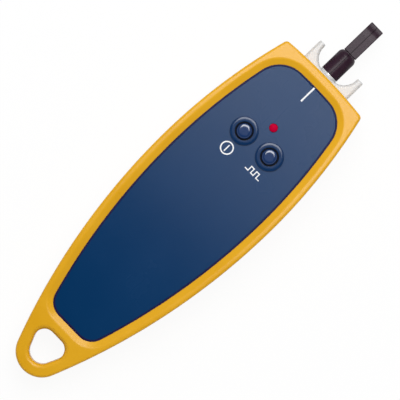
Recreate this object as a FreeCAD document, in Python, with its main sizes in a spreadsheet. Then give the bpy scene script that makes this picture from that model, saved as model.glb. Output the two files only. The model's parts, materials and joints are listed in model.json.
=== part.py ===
import FreeCAD, Part
import os
import re
import Sketcher

# Hand-held visual fault locator: a crowned, tapered case in a soft yellow boot with a hang loop.
#
# Frame: the tester lies on its back.  z = 0 is the boot's back, +Z comes out of the face, +Y runs
# towards the optical port and X runs across.  The origin is below the middle of the whole length.
# All lengths are in millimetres.

Vector = FreeCAD.Vector

# Driving dimensions, each written once.  Every other size is an expression of these.
SIZES = {
    # plan outline of the boot
    "half_width": 27.0,
    "widest_y": 8.8,
    "head_edge_y": 65.25,
    "head_edge_r": 203.0,
    "head_side_r": 223.0,
    "tail_tip_y": -92.25,
    "tail_end_r": 9.85,
    # side profile
    "height": 28.0,
    "crown_r": 600.0,
    "crown_y": 25.0,
    "heel_y": -70.0,
    "heel_r": 38.0,
    # boot
    "boot_wall": 2.2,
    "boot_back": 2.2,
    "boot_lip": 2.5,
    "boot_corner_r": 1.7,
    "boot_face_edge": 0.9,
    "boot_back_edge_r": 3.4,
    "rim_width": 4.65,
    "rim_head": 5.7,
    "bevel_width": 2.5,
    "bevel_drop": 1.2,
    "loop_y": -82.1,
    "loop_tail_r": 5.06,
    "loop_head_y": -74.4,
    "loop_half_width": 6.7,
    "loop_corner_r": 4.1,
    "loop_edge": 1.0,
    # fits
    "skin_gap": 0.1,
    "plate_gap": 0.2,
    "slide_gap": 0.05,
    "key_gap": 0.4,
    "thread_gap": 0.05,
    "seat_gap": 0.02,
    "pilot_spare": 0.4,
    # case shells
    "panel_tail_y": -68.25,
    "panel_head_corner_r": 11.6,
    "panel_tail_corner_r": 6.7,
    "panel_recess": 1.0,
    "panel_edge": 0.4,
    "shell_wall": 1.8,
    "roof_wall": 2.0,
    "split_z": 15.0,
    "case_corner_r": 3.0,
    "case_tail_corner_r": 8.0,
    "case_edge": 1.2,
    # keys and lamp
    "key_x": 6.75,
    "key_y": 29.25,
    "key_r": 3.2,
    "key_rise": 0.25,
    "key_flange": 0.9,
    "key_lip": 1.0,
    "key_slack": 0.4,
    "key_travel": 0.6,
    "key_dish": 0.2,
    "key_edge": 0.5,
    "collar_r": 5.35,
    "collar_rise": 0.7,
    "lamp_y": 37.9,
    "lamp_r": 1.6,
    "lamp_rise": 0.45,
    "lamp_stand": 2.4,
    "lamp_rim": 0.4,
    "lamp_rim_high": 1.0,
    "lead_half": 0.22,
    "lead_pitch": 2.54,
    # board
    "board_half_width": 15.0,
    "board_clear": 3.8,
    "board_head_y": 50.0,
    "board_z": 18.0,
    "board_thick": 1.6,
    "switch_side": 6.0,
    "switch_high": 3.3,
    "switch_floor": 0.8,
    "plunger_r": 1.7,
    "post_x": 12.2,
    "post_inset": 3.2,
    "post_r": 2.2,
    "chip_half_long": 2.45,
    "chip_half_wide": 1.95,
    "chip_high": 1.4,
    "leg_pitch": 1.27,
    "leg_thick": 0.2,
    "leg_reach": 3.1,
    "coil_side": 5.0,
    "coil_high": 2.6,
    "large_part": 3.2,
    "small_part": 2.0,
    # cells and their bay
    "cell_r": 7.25,
    "cell_length": 49.2,
    "cell_edge": 0.5,
    "cell_bead": 0.9,
    "nub_r": 2.75,
    "nub_length": 1.3,
    "cell_gap": 0.3,
    "bay_gap": 0.25,
    "bay_wall": 1.3,
    "bay_tail_y": -54.0,
    "spring_length": 4.6,
    "leaf_reach": 4.5,
    "leaf_width": 5.0,
    "contact_thick": 0.4,
    "contact_bump": 0.8,
    "tab_width": 2.2,
    "tab_reach": 2.0,
    "contact_inset": 1.8,
    # battery door
    "door_thick": 1.65,
    "door_overlap": 1.2,
    "door_travel": 4.0,
    "door_tail_land": 3.5,
    "door_head_land": 3.8,
    "door_taper": 1.6,
    "grip_pitch": 1.6,
    "grip_deep": 0.4,
    "hook_thick": 0.5,
    "hook_length": 4.0,
    "hook_reach": 1.1,
    "hook_high": 0.9,
    "hook_tail_clear": 10.0,
    "hook_head_clear": 13.0,
    # case screws
    "screw_r": 1.1,
    "screw_head_r": 2.0,
    "screw_head_share": 0.75,
    "screw_length": 11.0,
    "screw_clear": 0.6,
    "boss_r": 2.8,
    "screw_seat": 6.0,
    "recess_long": 0.62,
    "recess_wide": 0.18,
    # board screws
    "pin_screw_r": 0.9,
    "pin_screw_head_r": 1.7,
    "pin_screw_length": 4.6,
    # optical port
    "port_z": 13.0,
    "barrel_r": 2.8,
    "barrel_mouth_y": 75.2,
    "collar_flange_r": 4.5,
    "collar_flange": 2.8,
    "cradle_thick": 1.6,
    "cradle_wall": 2.0,
    "ferrule_r": 1.25,
    "sleeve_wall": 0.35,
    "sleeve_length": 11.4,
    "sleeve_slot": 0.5,
    "mouth_lip": 0.3,
    "mouth_gap": 0.08,
    "barrel_edge": 0.4,
    "collar_web": 0.3,
    "aperture_r": 0.86,
    "holder_length": 13.2,
    "spigot_r": 3.2,
    "spigot_length": 2.4,
    "diode_flange_r": 2.8,
    "diode_can_r": 1.78,
    "diode_can_length": 2.3,
    "pin_reach": 1.0,
    "pin_step": 1.7,
    "pin_bend": 1.5,
    "diode_flange": 1.2,
    "diode_depth": 5.5,
    "lens_r": 2.0,
    "lens_length": 2.4,
    "lens_edge": 0.3,
    # guard horns
    "guard_half_width": 11.45,
    "guard_half_high": 6.5,
    "saddle_y": 66.75,
    "saddle_half_width": 5.25,
    "horn_tip_y": 73.5,
    "horn_width": 2.65,
    "horn_edge": 0.4,
    "guard_flange": 1.6,
    "guard_flange_step": 1.6,
    "guard_set_back": 0.5,
    # dust cap
    "cap_r": 3.85,
    "cap_mouth_y": 67.12,
    "cap_shoulder_y": 76.4,
    "cap_neck_y": 77.3,
    "cap_end_y": 92.25,
    "tab_half_width": 3.05,
    "tab_half_thick": 1.35,
    "grip_length": 4.0,
    "grip_rise": 0.25,
    "cap_end_gap": 1.2,
    "tab_root": 0.6,
}

# Sizes that follow from the driving ones.
DERIVED = {
    "tail_side_r": "(half_width^2 + (widest_y - tail_tip_y)^2 - 2*(widest_y - tail_tip_y)*tail_end_r)"
                   " / (2*(half_width - tail_end_r))",
    "case_inset": "boot_wall + skin_gap",
    "shoulder_depth": "boot_lip + skin_gap",
    "case_overlap": "rim_width - boot_wall",
    "case_tail_y": "panel_tail_y - case_overlap + skin_gap",
    "cavity_tail_y": "panel_tail_y - case_overlap",
    "case_bottom_z": "boot_back",
    "floor_top_z": "case_bottom_z + shell_wall",
    "inner_inset": "case_inset + shell_wall",
    "inner_tail_y": "case_tail_y + shell_wall",
    "cell_x": "cell_r + cell_gap/2",
    "cell_z": "case_bottom_z + bay_gap + cell_r",
    "bay_r": "cell_r + bay_gap",
    "bay_half_width": "cell_x + bay_r",
    "bay_length": "cell_length + nub_length + spring_length + contact_bump + 2*contact_thick",
    "bay_head_y": "bay_tail_y + bay_length",
    "board_tail_y": "bay_head_y + board_clear",
    "board_top_z": "board_z + board_thick",
    "switch_top_z": "board_top_z + switch_high",
    "key_foot_z": "switch_top_z + key_travel + key_slack",
    "door_half_width": "bay_half_width + door_overlap",
    "door_tail_y": "bay_tail_y - door_tail_land",
    "door_head_y": "bay_head_y + door_head_land",
    "door_margin": "3*plate_gap",
    "door_top_z": "case_bottom_z - slide_gap",
    "flange_front_y": "head_edge_y - inner_inset - guard_set_back",
    "flange_back_y": "flange_front_y - guard_flange",
    "collar_front_y": "flange_back_y - slide_gap",
    "collar_back_y": "collar_front_y - collar_flange",
    "holder_front_y": "collar_back_y - slide_gap",
    "holder_back_y": "holder_front_y - holder_length",
    "sleeve_head_y": "barrel_mouth_y - mouth_lip",
    "sleeve_tail_y": "sleeve_head_y - sleeve_length",
    "sleeve_r": "ferrule_r + sleeve_wall",
    "lens_tail_y": "holder_front_y - spigot_length/2 - lens_length",
    "diode_seat_y": "holder_back_y + diode_depth",
}


def bound(text):
    """Turn a formula of size names into an expression on the sheet."""
    def swap(match):
        word = match[0]
        if word in SIZES:
            return "Sizes." + word
        if word in DERIVED:
            return "(" + bound(DERIVED[word]) + ")"
        return word
    return re.sub(r"[a-z][a-z_]*[a-z]", swap, str(text))


def value(text):
    """The number that a formula of size names comes to."""
    return float(sheet.evalExpression(bound(text)))


def is_number(text):
    return re.fullmatch(r"-?[0-9.]+", str(text)) is not None


def bind(item, prop, text):
    """Drive one property by a formula of size names."""
    item.setExpression(prop, bound(text))


def crown_z(y, depth="0"):
    """Height of the crowned face at a station, measured a depth below it."""
    return f"(height - crown_r + sqrt((crown_r - ({depth}))^2 - (({y}) - crown_y)^2))"


# ---------------------------------------------------------------- sketches and features

def new_body(label):
    item = doc.addObject("PartDesign::Body", label)
    item.Label = label
    return item


def new_sketch(body, plane, offset="0"):
    """A sketch on one of the body's own origin planes, moved along X, Y or Z by the offset."""
    roles = {"XY": "XY_Plane", "XZ": "XZ_Plane", "YZ": "YZ_Plane"}
    support = [f for f in body.Origin.OriginFeatures if f.Role == roles[plane]][0]
    item = body.newObject("Sketcher::SketchObject", body.Name + "_sketch")
    item.AttachmentSupport = [(support, "")]
    item.MapMode = "FlatFace"
    outward = f"-({offset})" if plane == "XZ" else str(offset)
    bind(item, "AttachmentOffset.Base.z", outward)
    return item


def hold(item, kind, args, text):
    """Add one dimension to a sketch and drive it by a formula."""
    index = item.addConstraint(Sketcher.Constraint(kind, *args, value(text)))
    if not is_number(text):
        item.renameConstraint(index, f"size{index}")
        bind(item, f"Constraints.size{index}", text)


def hold_point(item, edge, end, x, y):
    hold(item, "DistanceX", (-1, 1, edge, end), x)
    hold(item, "DistanceY", (-1, 1, edge, end), y)


def arc_between(start, end, radius):
    """Minor arc from start to end; a positive radius bulges to the right of the travel."""
    chord = end - start
    middle = (start + end) * 0.5
    left = Vector(-chord.y, chord.x, 0).normalize()
    rise = (radius ** 2 - (chord.Length / 2) ** 2) ** 0.5
    side = 1 if radius > 0 else -1
    centre = middle + left * (rise * side)
    peak = centre - left * (abs(radius) * side)
    return Part.Arc(start, peak, end)


def outline(item, points):
    """Closed profile through points (x, y), or (x, y, r) where an arc of radius r arrives."""
    places = [Vector(value(p[0]), value(p[1]), 0) for p in points]
    count = len(points)
    ends = []
    for index in range(count):
        here, after = places[index], places[(index + 1) % count]
        target = points[(index + 1) % count]
        if len(target) == 2:
            item.addGeometry(Part.LineSegment(here, after))
            ends.append((1, 2))
        else:
            radius = value(target[2])
            item.addGeometry(arc_between(here, after, radius))
            ends.append((1, 2) if radius > 0 else (2, 1))
    for index in range(count):
        after = (index + 1) % count
        item.addConstraint(Sketcher.Constraint("Coincident", index, ends[index][1], after, ends[after][0]))
    for index, point in enumerate(points):
        hold_point(item, index, ends[index][0], point[0], point[1])
        target = points[(index + 1) % count]
        if len(target) == 3:
            hold(item, "Radius", (index,), str(target[2]).lstrip("-"))
    return item


def circle(item, x, y, radius):
    index = item.addGeometry(Part.Circle(Vector(value(x), value(y), 0), Vector(0, 0, 1), value(radius)))
    hold_point(item, index, 3, x, y)
    hold(item, "Radius", (index,), radius)
    return item


def rectangle(item, low_x, high_x, low_y, high_y):
    return outline(item, [(low_x, low_y), (high_x, low_y), (high_x, high_y), (low_x, high_y)])


def pad(body, profile, length, both=False, back=False):
    item = body.newObject("PartDesign::Pad", body.Name + "_pad")
    item.Profile = profile
    item.SideType = "Symmetric" if both else "One side"
    item.Reversed = back
    bind(item, "Length", length)
    doc.recompute()
    return item


def pocket(body, profile, length, both=False, back=False):
    """Cut a profile out of a body, and make sure that it did cut."""
    before = body.Shape.Volume
    item = body.newObject("PartDesign::Pocket", body.Name + "_pocket")
    item.Profile = profile
    item.SideType = "Symmetric" if both else "One side"
    item.Reversed = back
    bind(item, "Length", length)
    doc.recompute()
    if body.Shape.Volume > before - 1e-6:
        raise ValueError(item.Name + " cuts nothing")
    return item


def turn(body, profile):
    """Revolve a profile about its sketch's upright axis."""
    item = body.newObject("PartDesign::Revolution", body.Name + "_turn")
    item.Profile = profile
    item.ReferenceAxis = (profile, ["V_Axis"])
    item.Angle = 360
    doc.recompute()
    return item


def edge_names(shape, wanted):
    return [f"Edge{i + 1}" for i, edge in enumerate(shape.Edges) if wanted(edge)]


def round_edges(body, wanted, radius):
    """Fillet the edges of the body's tip that the test picks."""
    tip = body.Tip
    names = edge_names(tip.Shape, wanted)
    item = body.newObject("PartDesign::Fillet", body.Name + "_fillet")
    item.Base = (tip, names)
    bind(item, "Radius", radius)
    doc.recompute()
    return item


def bevel_edges(body, wanted, width, drop=None):
    """Chamfer the edges of the body's tip that the test picks, evenly or by two distances."""
    tip = body.Tip
    item = body.newObject("PartDesign::Chamfer", body.Name + "_chamfer")
    item.Base = (tip, edge_names(tip.Shape, wanted))
    bind(item, "Size", width)
    if drop:
        item.ChamferType = "Two distances"
        bind(item, "Size2", drop)
    doc.recompute()
    return item


def is_upright(edge):
    box = edge.BoundBox
    return box.XLength < 1e-4 and box.YLength < 1e-4


def is_level(edge, z):
    box = edge.BoundBox
    return abs(box.ZMin - z) < 1e-4 and abs(box.ZMax - z) < 1e-4


# ---------------------------------------------------------------- solids

def box(label, x, y, z):
    """A block between pairs of x, y and z."""
    item = doc.addObject("Part::Box", label)
    for prop, low_high, axis in (("Length", x, "x"), ("Width", y, "y"), ("Height", z, "z")):
        bind(item, prop, f"({low_high[1]}) - ({low_high[0]})")
        bind(item, "Placement.Base." + axis, low_high[0])
    return item


def rod(label, radius, low, high, across, along="z"):
    """A cylinder from low to high along z or y, at the two other coordinates."""
    item = doc.addObject("Part::Cylinder", label)
    bind(item, "Radius", radius)
    bind(item, "Height", f"({high}) - ({low})")
    if along == "y":
        item.Placement.Rotation = FreeCAD.Rotation(Vector(1, 0, 0), -90)
        place = (across[0], low, across[1])
    else:
        place = (across[0], across[1], low)
    for axis, text in zip("xyz", place):
        bind(item, "Placement.Base." + axis, text)
    return item


def arch(label, radius, low, high, x, z):
    """The upper half of a cylinder that lies along y."""
    item = doc.addObject("Part::Cylinder", label)
    bind(item, "Radius", radius)
    bind(item, "Height", f"({high}) - ({low})")
    item.Angle = 180
    item.Placement.Rotation = FreeCAD.Rotation(Vector(1, 0, 0), 90)
    for axis, text in zip("xyz", (x, high, z)):
        bind(item, "Placement.Base." + axis, text)
    return item


def cut(label, base, tools):
    """One solid less several others."""
    tool = tools[0]
    if len(tools) > 1:
        tool = doc.addObject("Part::MultiFuse", label + "_tools")
        tool.Shapes = tools
    item = doc.addObject("Part::Cut", label)
    item.Base, item.Tool = base, tool
    return item


def fuse(label, solids):
    item = doc.addObject("Part::MultiFuse", label)
    item.Shapes = solids
    return item


def group(label, solids):
    item = doc.addObject("Part::Compound", label)
    item.Links = solids
    return item


# ---------------------------------------------------------------- crowned blocks

def case_outline(item, inset, head_inset, tail):
    """The tapered plan outline, set in from the boot's own edge.

    Two side arcs meet at the widest station; a flat arc closes the head.  The tail is the boot's
    own round end where tail is None, or a straight edge at that y.
    """
    wide_x = value(f"half_width - ({inset})")
    wide_y = value("widest_y")
    head_r, tail_r = value(f"head_side_r - ({inset})"), value(f"tail_side_r - ({inset})")
    end_r = value(f"head_edge_r - ({head_inset})")
    head_centre = Vector(wide_x - head_r, wide_y, 0)
    tail_centre = Vector(wide_x - tail_r, wide_y, 0)
    end_centre = Vector(0, value("head_edge_y - head_edge_r"), 0)
    wide = Vector(wide_x, wide_y, 0)
    corner = crossing(head_centre, head_r, end_centre, end_r)
    if tail is None:
        nose_r, nose_y = value("tail_end_r"), value("tail_tip_y + tail_end_r")
        reach = (tail_r - wide_x) / (tail_r - nose_r)
        low = Vector(nose_r * reach, nose_y + nose_r * (nose_y - wide_y) / (tail_r - nose_r), 0)
    else:
        low_y = value(tail)
        low = Vector(tail_centre.x + (tail_r ** 2 - (low_y - wide_y) ** 2) ** 0.5, low_y, 0)

    def left(point):
        return Vector(-point.x, point.y, 0)

    def span(centre, radius, start, end):
        middle = (start + end) * 0.5 - centre
        return Part.Arc(start, centre + middle.normalize() * radius, end)

    item.addGeometry([
        span(head_centre, head_r, wide, corner),
        span(end_centre, end_r, corner, left(corner)),
        span(left(head_centre), head_r, left(corner), left(wide)),
        span(left(tail_centre), tail_r, left(wide), left(low)),
        span(Vector(0, nose_y, 0), nose_r, left(low), low) if tail is None
        else Part.LineSegment(left(low), low),
        span(tail_centre, tail_r, low, wide)])
    for first in (0, 1, 2, 5):
        item.addConstraint(Sketcher.Constraint("Coincident", first, 2, (first + 1) % 6, 1))
    joint = "Tangent" if tail is None else "Coincident"
    item.addConstraint(Sketcher.Constraint(joint, 3, 2, 4, 1))
    item.addConstraint(Sketcher.Constraint(joint, 4, 2, 5, 1))
    hold_point(item, 0, 1, f"half_width - ({inset})", "widest_y")
    hold_point(item, 2, 2, f"-(half_width - ({inset}))", "widest_y")
    for edge in (0, 2):
        hold(item, "DistanceY", (-1, 1, edge, 3), "widest_y")
        hold(item, "Radius", (edge,), f"head_side_r - ({inset})")
    hold_point(item, 1, 3, "0", "head_edge_y - head_edge_r")
    hold(item, "Radius", (1,), f"head_edge_r - ({head_inset})")
    for edge in (3, 5):
        hold(item, "DistanceY", (-1, 1, edge, 3), "widest_y")
    if tail is None:
        hold_point(item, 4, 3, "0", "tail_tip_y + tail_end_r")
        hold(item, "Radius", (4,), "tail_end_r")
    else:
        for edge in (3, 5):
            hold(item, "Radius", (edge,), f"tail_side_r - ({inset})")
        hold(item, "DistanceY", (-1, 1, 4, 1), tail)
        item.addConstraint(Sketcher.Constraint("Horizontal", 4))
    return item


def crossing(first, first_r, second, second_r):
    """The crossing of two circles that lies on the +X side."""
    gap = second - first
    along = (first_r ** 2 - second_r ** 2 + gap.Length ** 2) / (2 * gap.Length)
    off = (first_r ** 2 - along ** 2) ** 0.5
    unit = Vector(gap).normalize()
    foot = first + unit * along
    normal = Vector(-unit.y, unit.x, 0)
    return max((foot + normal * off, foot - normal * off), key=lambda point: point.y)


def trim_to_crown(body, depth):
    """Cut away all that stands above the crown, a depth below the face."""
    high, tail, head = "height + 6", "tail_tip_y - 8", "head_edge_y + 8"
    item = outline(new_sketch(body, "YZ"), [
        (tail, crown_z(tail, depth)),
        (head, crown_z(head, depth), f"-(crown_r - ({depth}))"),
        (head, high),
        (tail, high)])
    return pocket(body, item, "4*half_width", both=True)


def crowned_block(label, inset, head_inset, tail, low_z, depth, head_r, tail_r="0"):
    """The case outline raised from low_z to the crown, with rounded plan corners."""
    body = new_body(label)
    pad(body, case_outline(new_sketch(body, "XY", low_z), inset, head_inset, tail),
        f"height + 4 - ({low_z})")
    middle = value("widest_y")
    reach = value("half_width")
    round_edges(body, lambda e: is_upright(e) and e.BoundBox.YMin > middle + reach, head_r)
    if tail is not None:
        round_edges(body, lambda e: is_upright(e) and e.BoundBox.YMax < middle - reach, tail_r)
    trim_to_crown(body, depth)
    return body


def on_crown(depth):
    """A test for edges that lie in the crowned face."""
    centre_y, centre_z = value("crown_y"), value("height - crown_r")
    radius = value(f"crown_r - ({depth})")

    def wanted(edge):
        if edge.Degenerated:
            return False
        low, high = edge.ParameterRange
        points = [edge.valueAt(low + (high - low) * part / 4) for part in range(5)]
        return all(abs(((p.y - centre_y) ** 2 + (p.z - centre_z) ** 2) ** 0.5 - radius) < 1e-3
                   for p in points)
    return wanted


# ---------------------------------------------------------------- boot

def make_boot():
    """Soft one-piece boot: bevelled rim round the face, hang loop, nose opening and back window."""
    body = crowned_block("boot_form", "0", "0", None, "0", "0", "boot_corner_r")
    heel = "(tail_tip_y - 4)"
    rise = f"(heel_r - sqrt(heel_r^2 - (heel_y - {heel})^2))"
    pocket(body, outline(new_sketch(body, "YZ"), [
        (heel, "-2"), ("heel_y", "-2"), ("heel_y", "0"), (heel, rise, "heel_r")]),
        "4*half_width", both=True)

    def outer_back(edge):
        return not is_upright(edge) and edge.BoundBox.ZMax < value("height/2")
    round_edges(body, outer_back, "boot_back_edge_r")
    bevel_edges(body, on_crown("0"), "boot_face_edge")
    window = case_outline(new_sketch(body, "XY", "height/2"),
                          "rim_width", "rim_head", "panel_tail_y")
    pocket(body, window, "height", back=True)
    middle, reach = value("widest_y"), value("half_width")
    inside = value("half_width - rim_width") + 0.01

    def window_corner(edge):
        box = edge.BoundBox
        return is_upright(edge) and abs(box.XMax) < inside and box.ZMin > value("height/2") - 0.01
    round_edges(body, lambda e: window_corner(e) and e.BoundBox.YMin > middle + reach,
                "panel_head_corner_r")
    round_edges(body, lambda e: window_corner(e) and e.BoundBox.YMax < middle - reach,
                "panel_tail_corner_r")
    bevel_face(body, inside)
    cut_loop(body)
    cavity = crowned_block("boot_cavity", "boot_wall", "boot_wall", "cavity_tail_y", "boot_back",
                           "boot_lip", "case_corner_r", "case_tail_corner_r")
    bevel_edges(cavity, lambda e: is_level(e, value("boot_back")), "case_edge")
    nose = box("boot_nose_opening", ("-(guard_half_width + plate_gap)", "guard_half_width + plate_gap"),
               ("head_edge_y - boot_wall - 8", "head_edge_y + 2"),
               ("port_z - guard_half_high - plate_gap", "port_z + guard_half_high + plate_gap"))
    return cut("boot", body, [cavity, nose, door_form("boot_door_window", "door_margin", "-1",
                                                      "boot_back + 1", "door_travel")])


def bevel_face(body, inside):
    """The wide bevel that falls from the rim's flat to the panel."""
    on_face = on_crown("0")
    low, high = value("loop_y + loop_tail_r"), value("head_edge_y - rim_head") + 0.01

    def wanted(edge):
        box = edge.BoundBox
        within = max(abs(box.XMin), abs(box.XMax)) < inside and low < box.YMin and box.YMax < high
        return within and on_face(edge)
    bevel_edges(body, wanted, "bevel_width", "bevel_drop")


def cut_loop(body):
    """Rounded triangular hole through the tail, with soft edges."""
    corner_x, corner_y = "(loop_half_width - loop_corner_r)", "(loop_head_y - loop_corner_r)"
    rise = f"({corner_y} - loop_y)"
    reach = f"sqrt({corner_x}^2 + {rise}^2)"
    lean = f"((loop_tail_r - loop_corner_r)/{reach})"
    square = f"sqrt(1 - {lean}^2)"
    normal_x = f"(({corner_x}*{lean} + {rise}*{square})/{reach})"
    normal_y = f"(({rise}*{lean} - {corner_x}*{square})/{reach})"
    tail = (f"loop_tail_r*{normal_x}", f"loop_y + loop_tail_r*{normal_y}")
    side = (f"{corner_x} + loop_corner_r*{normal_x}", f"{corner_y} + loop_corner_r*{normal_y}")
    pocket(body, outline(new_sketch(body, "XY", "-1"), [
        (f"-({tail[0]})", tail[1]), (*tail, "loop_tail_r"), side,
        (corner_x, "loop_head_y", "loop_corner_r"), (f"-{corner_x}", "loop_head_y"),
        (f"-({side[0]})", side[1], "loop_corner_r")]), "height + 2", back=True)
    low, high = value("loop_y - loop_tail_r") - 0.01, value("loop_head_y") + 0.01
    wide = value("loop_half_width") + 0.01

    def rim(edge):
        box = edge.BoundBox
        inside = low < box.YMin and box.YMax < high and max(abs(box.XMin), abs(box.XMax)) < wide
        return inside and not is_upright(edge)
    bevel_edges(body, rim, "loop_edge")


# ---------------------------------------------------------------- case shells

def door_form(label, margin, low_z, high_z, extra="0"):
    """The door's plan, grown by a margin and lengthened towards the head by the extra travel."""
    body = new_body(label)
    wide = f"door_half_width + {margin}"
    waist = "bay_tail_y + hook_length"
    tail = f"door_tail_y - {margin}"
    narrow = f"({wide} - door_taper)"
    outline_sketch = outline(new_sketch(body, "XY", low_z), [
        (f"-{narrow}", tail), (narrow, tail), (wide, waist),
        (wide, f"door_head_y + {margin} + {extra}"),
        (f"-({wide})", f"door_head_y + {margin} + {extra}"), (f"-({wide})", waist)])
    pad(body, outline_sketch, f"({high_z}) - ({low_z})")
    round_edges(body, is_upright, "door_overlap")
    return body


def screw_places():
    """Where the four case screws stand: two at the head and two at the tail."""
    head = ("bay_half_width + screw_clear", "board_head_y + boss_r + plate_gap")
    tail = ("cell_x + screw_clear", "(bay_tail_y + case_tail_y)/2")
    return [(sign + "(" + x + ")", y) for x, y in (head, tail) for sign in ("", "-")]


def make_front_cover():
    """Blue face shell: a shoulder under the boot's lip and a raised panel in its window."""
    shoulder = crowned_block("cover_shoulder", "case_inset", "case_inset", "case_tail_y", "split_z",
                             "shoulder_depth", "case_corner_r", "case_tail_corner_r")
    gap = "plate_gap"
    panel = crowned_block("cover_panel", f"rim_width + {gap}", f"rim_head + {gap}",
                          f"panel_tail_y + {gap}", "split_z", "panel_recess",
                          f"panel_head_corner_r - {gap}", f"panel_tail_corner_r - {gap}")
    bevel_edges(panel, on_crown("panel_recess"), "panel_edge")
    low_roof = crowned_block("cover_low_space", "inner_inset", "inner_inset", "inner_tail_y",
                             "split_z - 1", "shoulder_depth + shell_wall", "case_edge",
                             "case_tail_corner_r - shell_wall")
    wall = "(plate_gap + roof_wall)"
    high_roof = crowned_block("cover_high_space", f"rim_width + {wall}", f"rim_head + {wall}",
                              f"panel_tail_y + {wall}", "split_z - 1", "panel_recess + roof_wall",
                              f"panel_head_corner_r - {wall}", f"panel_tail_corner_r - {wall}")
    shell = cut("cover_shell", fuse("cover_skin", [shoulder, panel]), [low_roof, high_roof])
    solids, holes = [shell], []
    for side in ("", "-"):
        solids.append(make_collar(side))
        holes.append(rod("key_hole", "key_r + key_gap", "board_top_z", "height + 1",
                         (side + "key_x", "key_y")))
    holes.append(rod("lamp_hole", "lamp_r + skin_gap", "board_top_z", "height + 1", ("0", "lamp_y")))
    for x, y in screw_places():
        solids.append(rod("cover_boss", "boss_r", "split_z", roof_at(y), (x, y)))
        holes.append(rod("cover_pilot", "screw_r + thread_gap", "split_z - 1",
                         "case_bottom_z + screw_seat + screw_length + pilot_spare", (x, y)))
    for x, y in post_places() + [("-(" + x + ")", y) for x, y in post_places()]:
        solids.append(rod("board_post", "post_r", "board_top_z", roof_at(y), (x, y)))
    for x, y in post_places():
        holes.append(rod("post_pilot", "pin_screw_r + thread_gap", "board_z",
                         "board_z + pin_screw_length + pilot_spare", (x, y)))
    holes.append(nose_cut("cover_nose_opening"))
    return cut("front_cover", fuse("cover_with_posts", solids), holes)


def roof_at(y):
    """A height inside the shell's roof, where bosses and posts end."""
    return crown_z(y, "(shoulder_depth + panel_recess + roof_wall)/2")


def post_places():
    """The two posts that take the board's screws; their mirror images only press on the board."""
    return [("post_x", "board_tail_y + post_inset"), ("-post_x", "board_head_y - post_inset")]


def nose_cut(label):
    """The opening in the case's nose that the guard comes out of."""
    wide, high = "guard_half_width + skin_gap", "guard_half_high + skin_gap"
    return box(label, (f"-({wide})", wide), ("head_edge_y - inner_inset - 4", "head_edge_y"),
               (f"port_z - ({high})", f"port_z + {high}"))


def make_collar(side):
    """Raised convex ring round a key."""
    body = new_body("key_collar")
    base = "(" + crown_z("key_y", "panel_recess") + ")"
    inner = "(key_r + key_gap)"
    top = f"({base} + collar_rise)"
    turn(body, outline(new_sketch(body, "XZ"), [
        (inner, f"{base} - 1"), ("collar_r", f"{base} - 1"), ("collar_r", base),
        ("collar_r - 0.8*collar_rise", top), (f"{inner} + collar_rise/2", top),
        (inner, f"{top} - collar_rise/2")]))
    bind(body, "Placement.Base.x", side + "key_x")
    bind(body, "Placement.Base.y", "key_y")
    return body


def make_rear_housing():
    """Back shell: floor, walls, screw bosses, laser cradles and the arched bay for two cells."""
    body = new_body("rear_shell")
    pad(body, case_outline(new_sketch(body, "XY", "case_bottom_z"), "case_inset", "case_inset",
                           "case_tail_y"), "split_z - case_bottom_z")
    middle, reach = value("widest_y"), value("half_width")
    round_edges(body, lambda e: is_upright(e) and e.BoundBox.YMin > middle + reach, "case_corner_r")
    round_edges(body, lambda e: is_upright(e) and e.BoundBox.YMax < middle - reach,
                "case_tail_corner_r")
    bevel_edges(body, lambda e: is_level(e, value("case_bottom_z")), "case_edge")
    space = new_body("rear_space")
    pad(space, case_outline(new_sketch(space, "XY", "floor_top_z"), "inner_inset", "inner_inset",
                            "inner_tail_y"), "split_z")
    round_edges(space, lambda e: is_upright(e) and e.BoundBox.YMin > middle + reach, "case_edge")
    round_edges(space, lambda e: is_upright(e) and e.BoundBox.YMax < middle - reach,
                "case_tail_corner_r - shell_wall")
    shell = cut("rear_tray", body, [space])
    holes = [bay_form("bay_inside", "bay_r", "bay_half_width", "case_bottom_z - 1",
                      "bay_tail_y", "bay_head_y")]
    wall_x = "bay_half_width + bay_wall"
    solids = [shell, bay_form("bay_outside", "bay_r + bay_wall", wall_x, "case_bottom_z + case_edge",
                              "bay_tail_y - bay_wall", "bay_head_y + bay_wall")]
    for low, high in (("bay_tail_y", "bay_tail_y + contact_thick + slide_gap"),
                      ("bay_head_y - contact_thick - slide_gap", "bay_head_y")):
        wide = "(bay_half_width - contact_inset + plate_gap)"
        holes.append(box("contact_slot", (f"-{wide}", wide), (low, high),
                         ("case_bottom_z + 1", "cell_z + bay_r/2 + plate_gap")))
    for side in ("", "-"):
        holes.append(tab_slot(side))
        holes += hook_slots(side)
    for x, y in screw_places():
        solids.append(rod("rear_boss", "boss_r", "case_bottom_z + 0.5", "split_z", (x, y)))
        holes.append(rod("screw_way", "screw_r + skin_gap", "0", "split_z + 1", (x, y)))
        holes.append(rod("screw_sink", "screw_head_r + skin_gap", "0",
                         "case_bottom_z + screw_seat", (x, y)))
    solids += cradles()
    holes.append(rod("cradle_round", "collar_flange_r + slide_gap/2", "holder_back_y - 2",
                     "collar_front_y + slide_gap", ("0", "port_z"), "y"))
    holes.append(nose_cut("rear_nose_opening"))
    return cut("rear_housing", fuse("rear_with_bay", solids), holes)


def bay_form(label, radius, half_width, low_z, low_y, high_y):
    """Two half-round troughs side by side, open downwards, along the cells."""
    sides = [arch(label + "_trough", radius, low_y, high_y, sign + "cell_x", "cell_z")
             for sign in ("", "-")]
    block = box(label + "_mouth", (f"-({half_width})", half_width), (low_y, high_y),
                (low_z, "cell_z"))
    return fuse(label, sides + [block])


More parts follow.
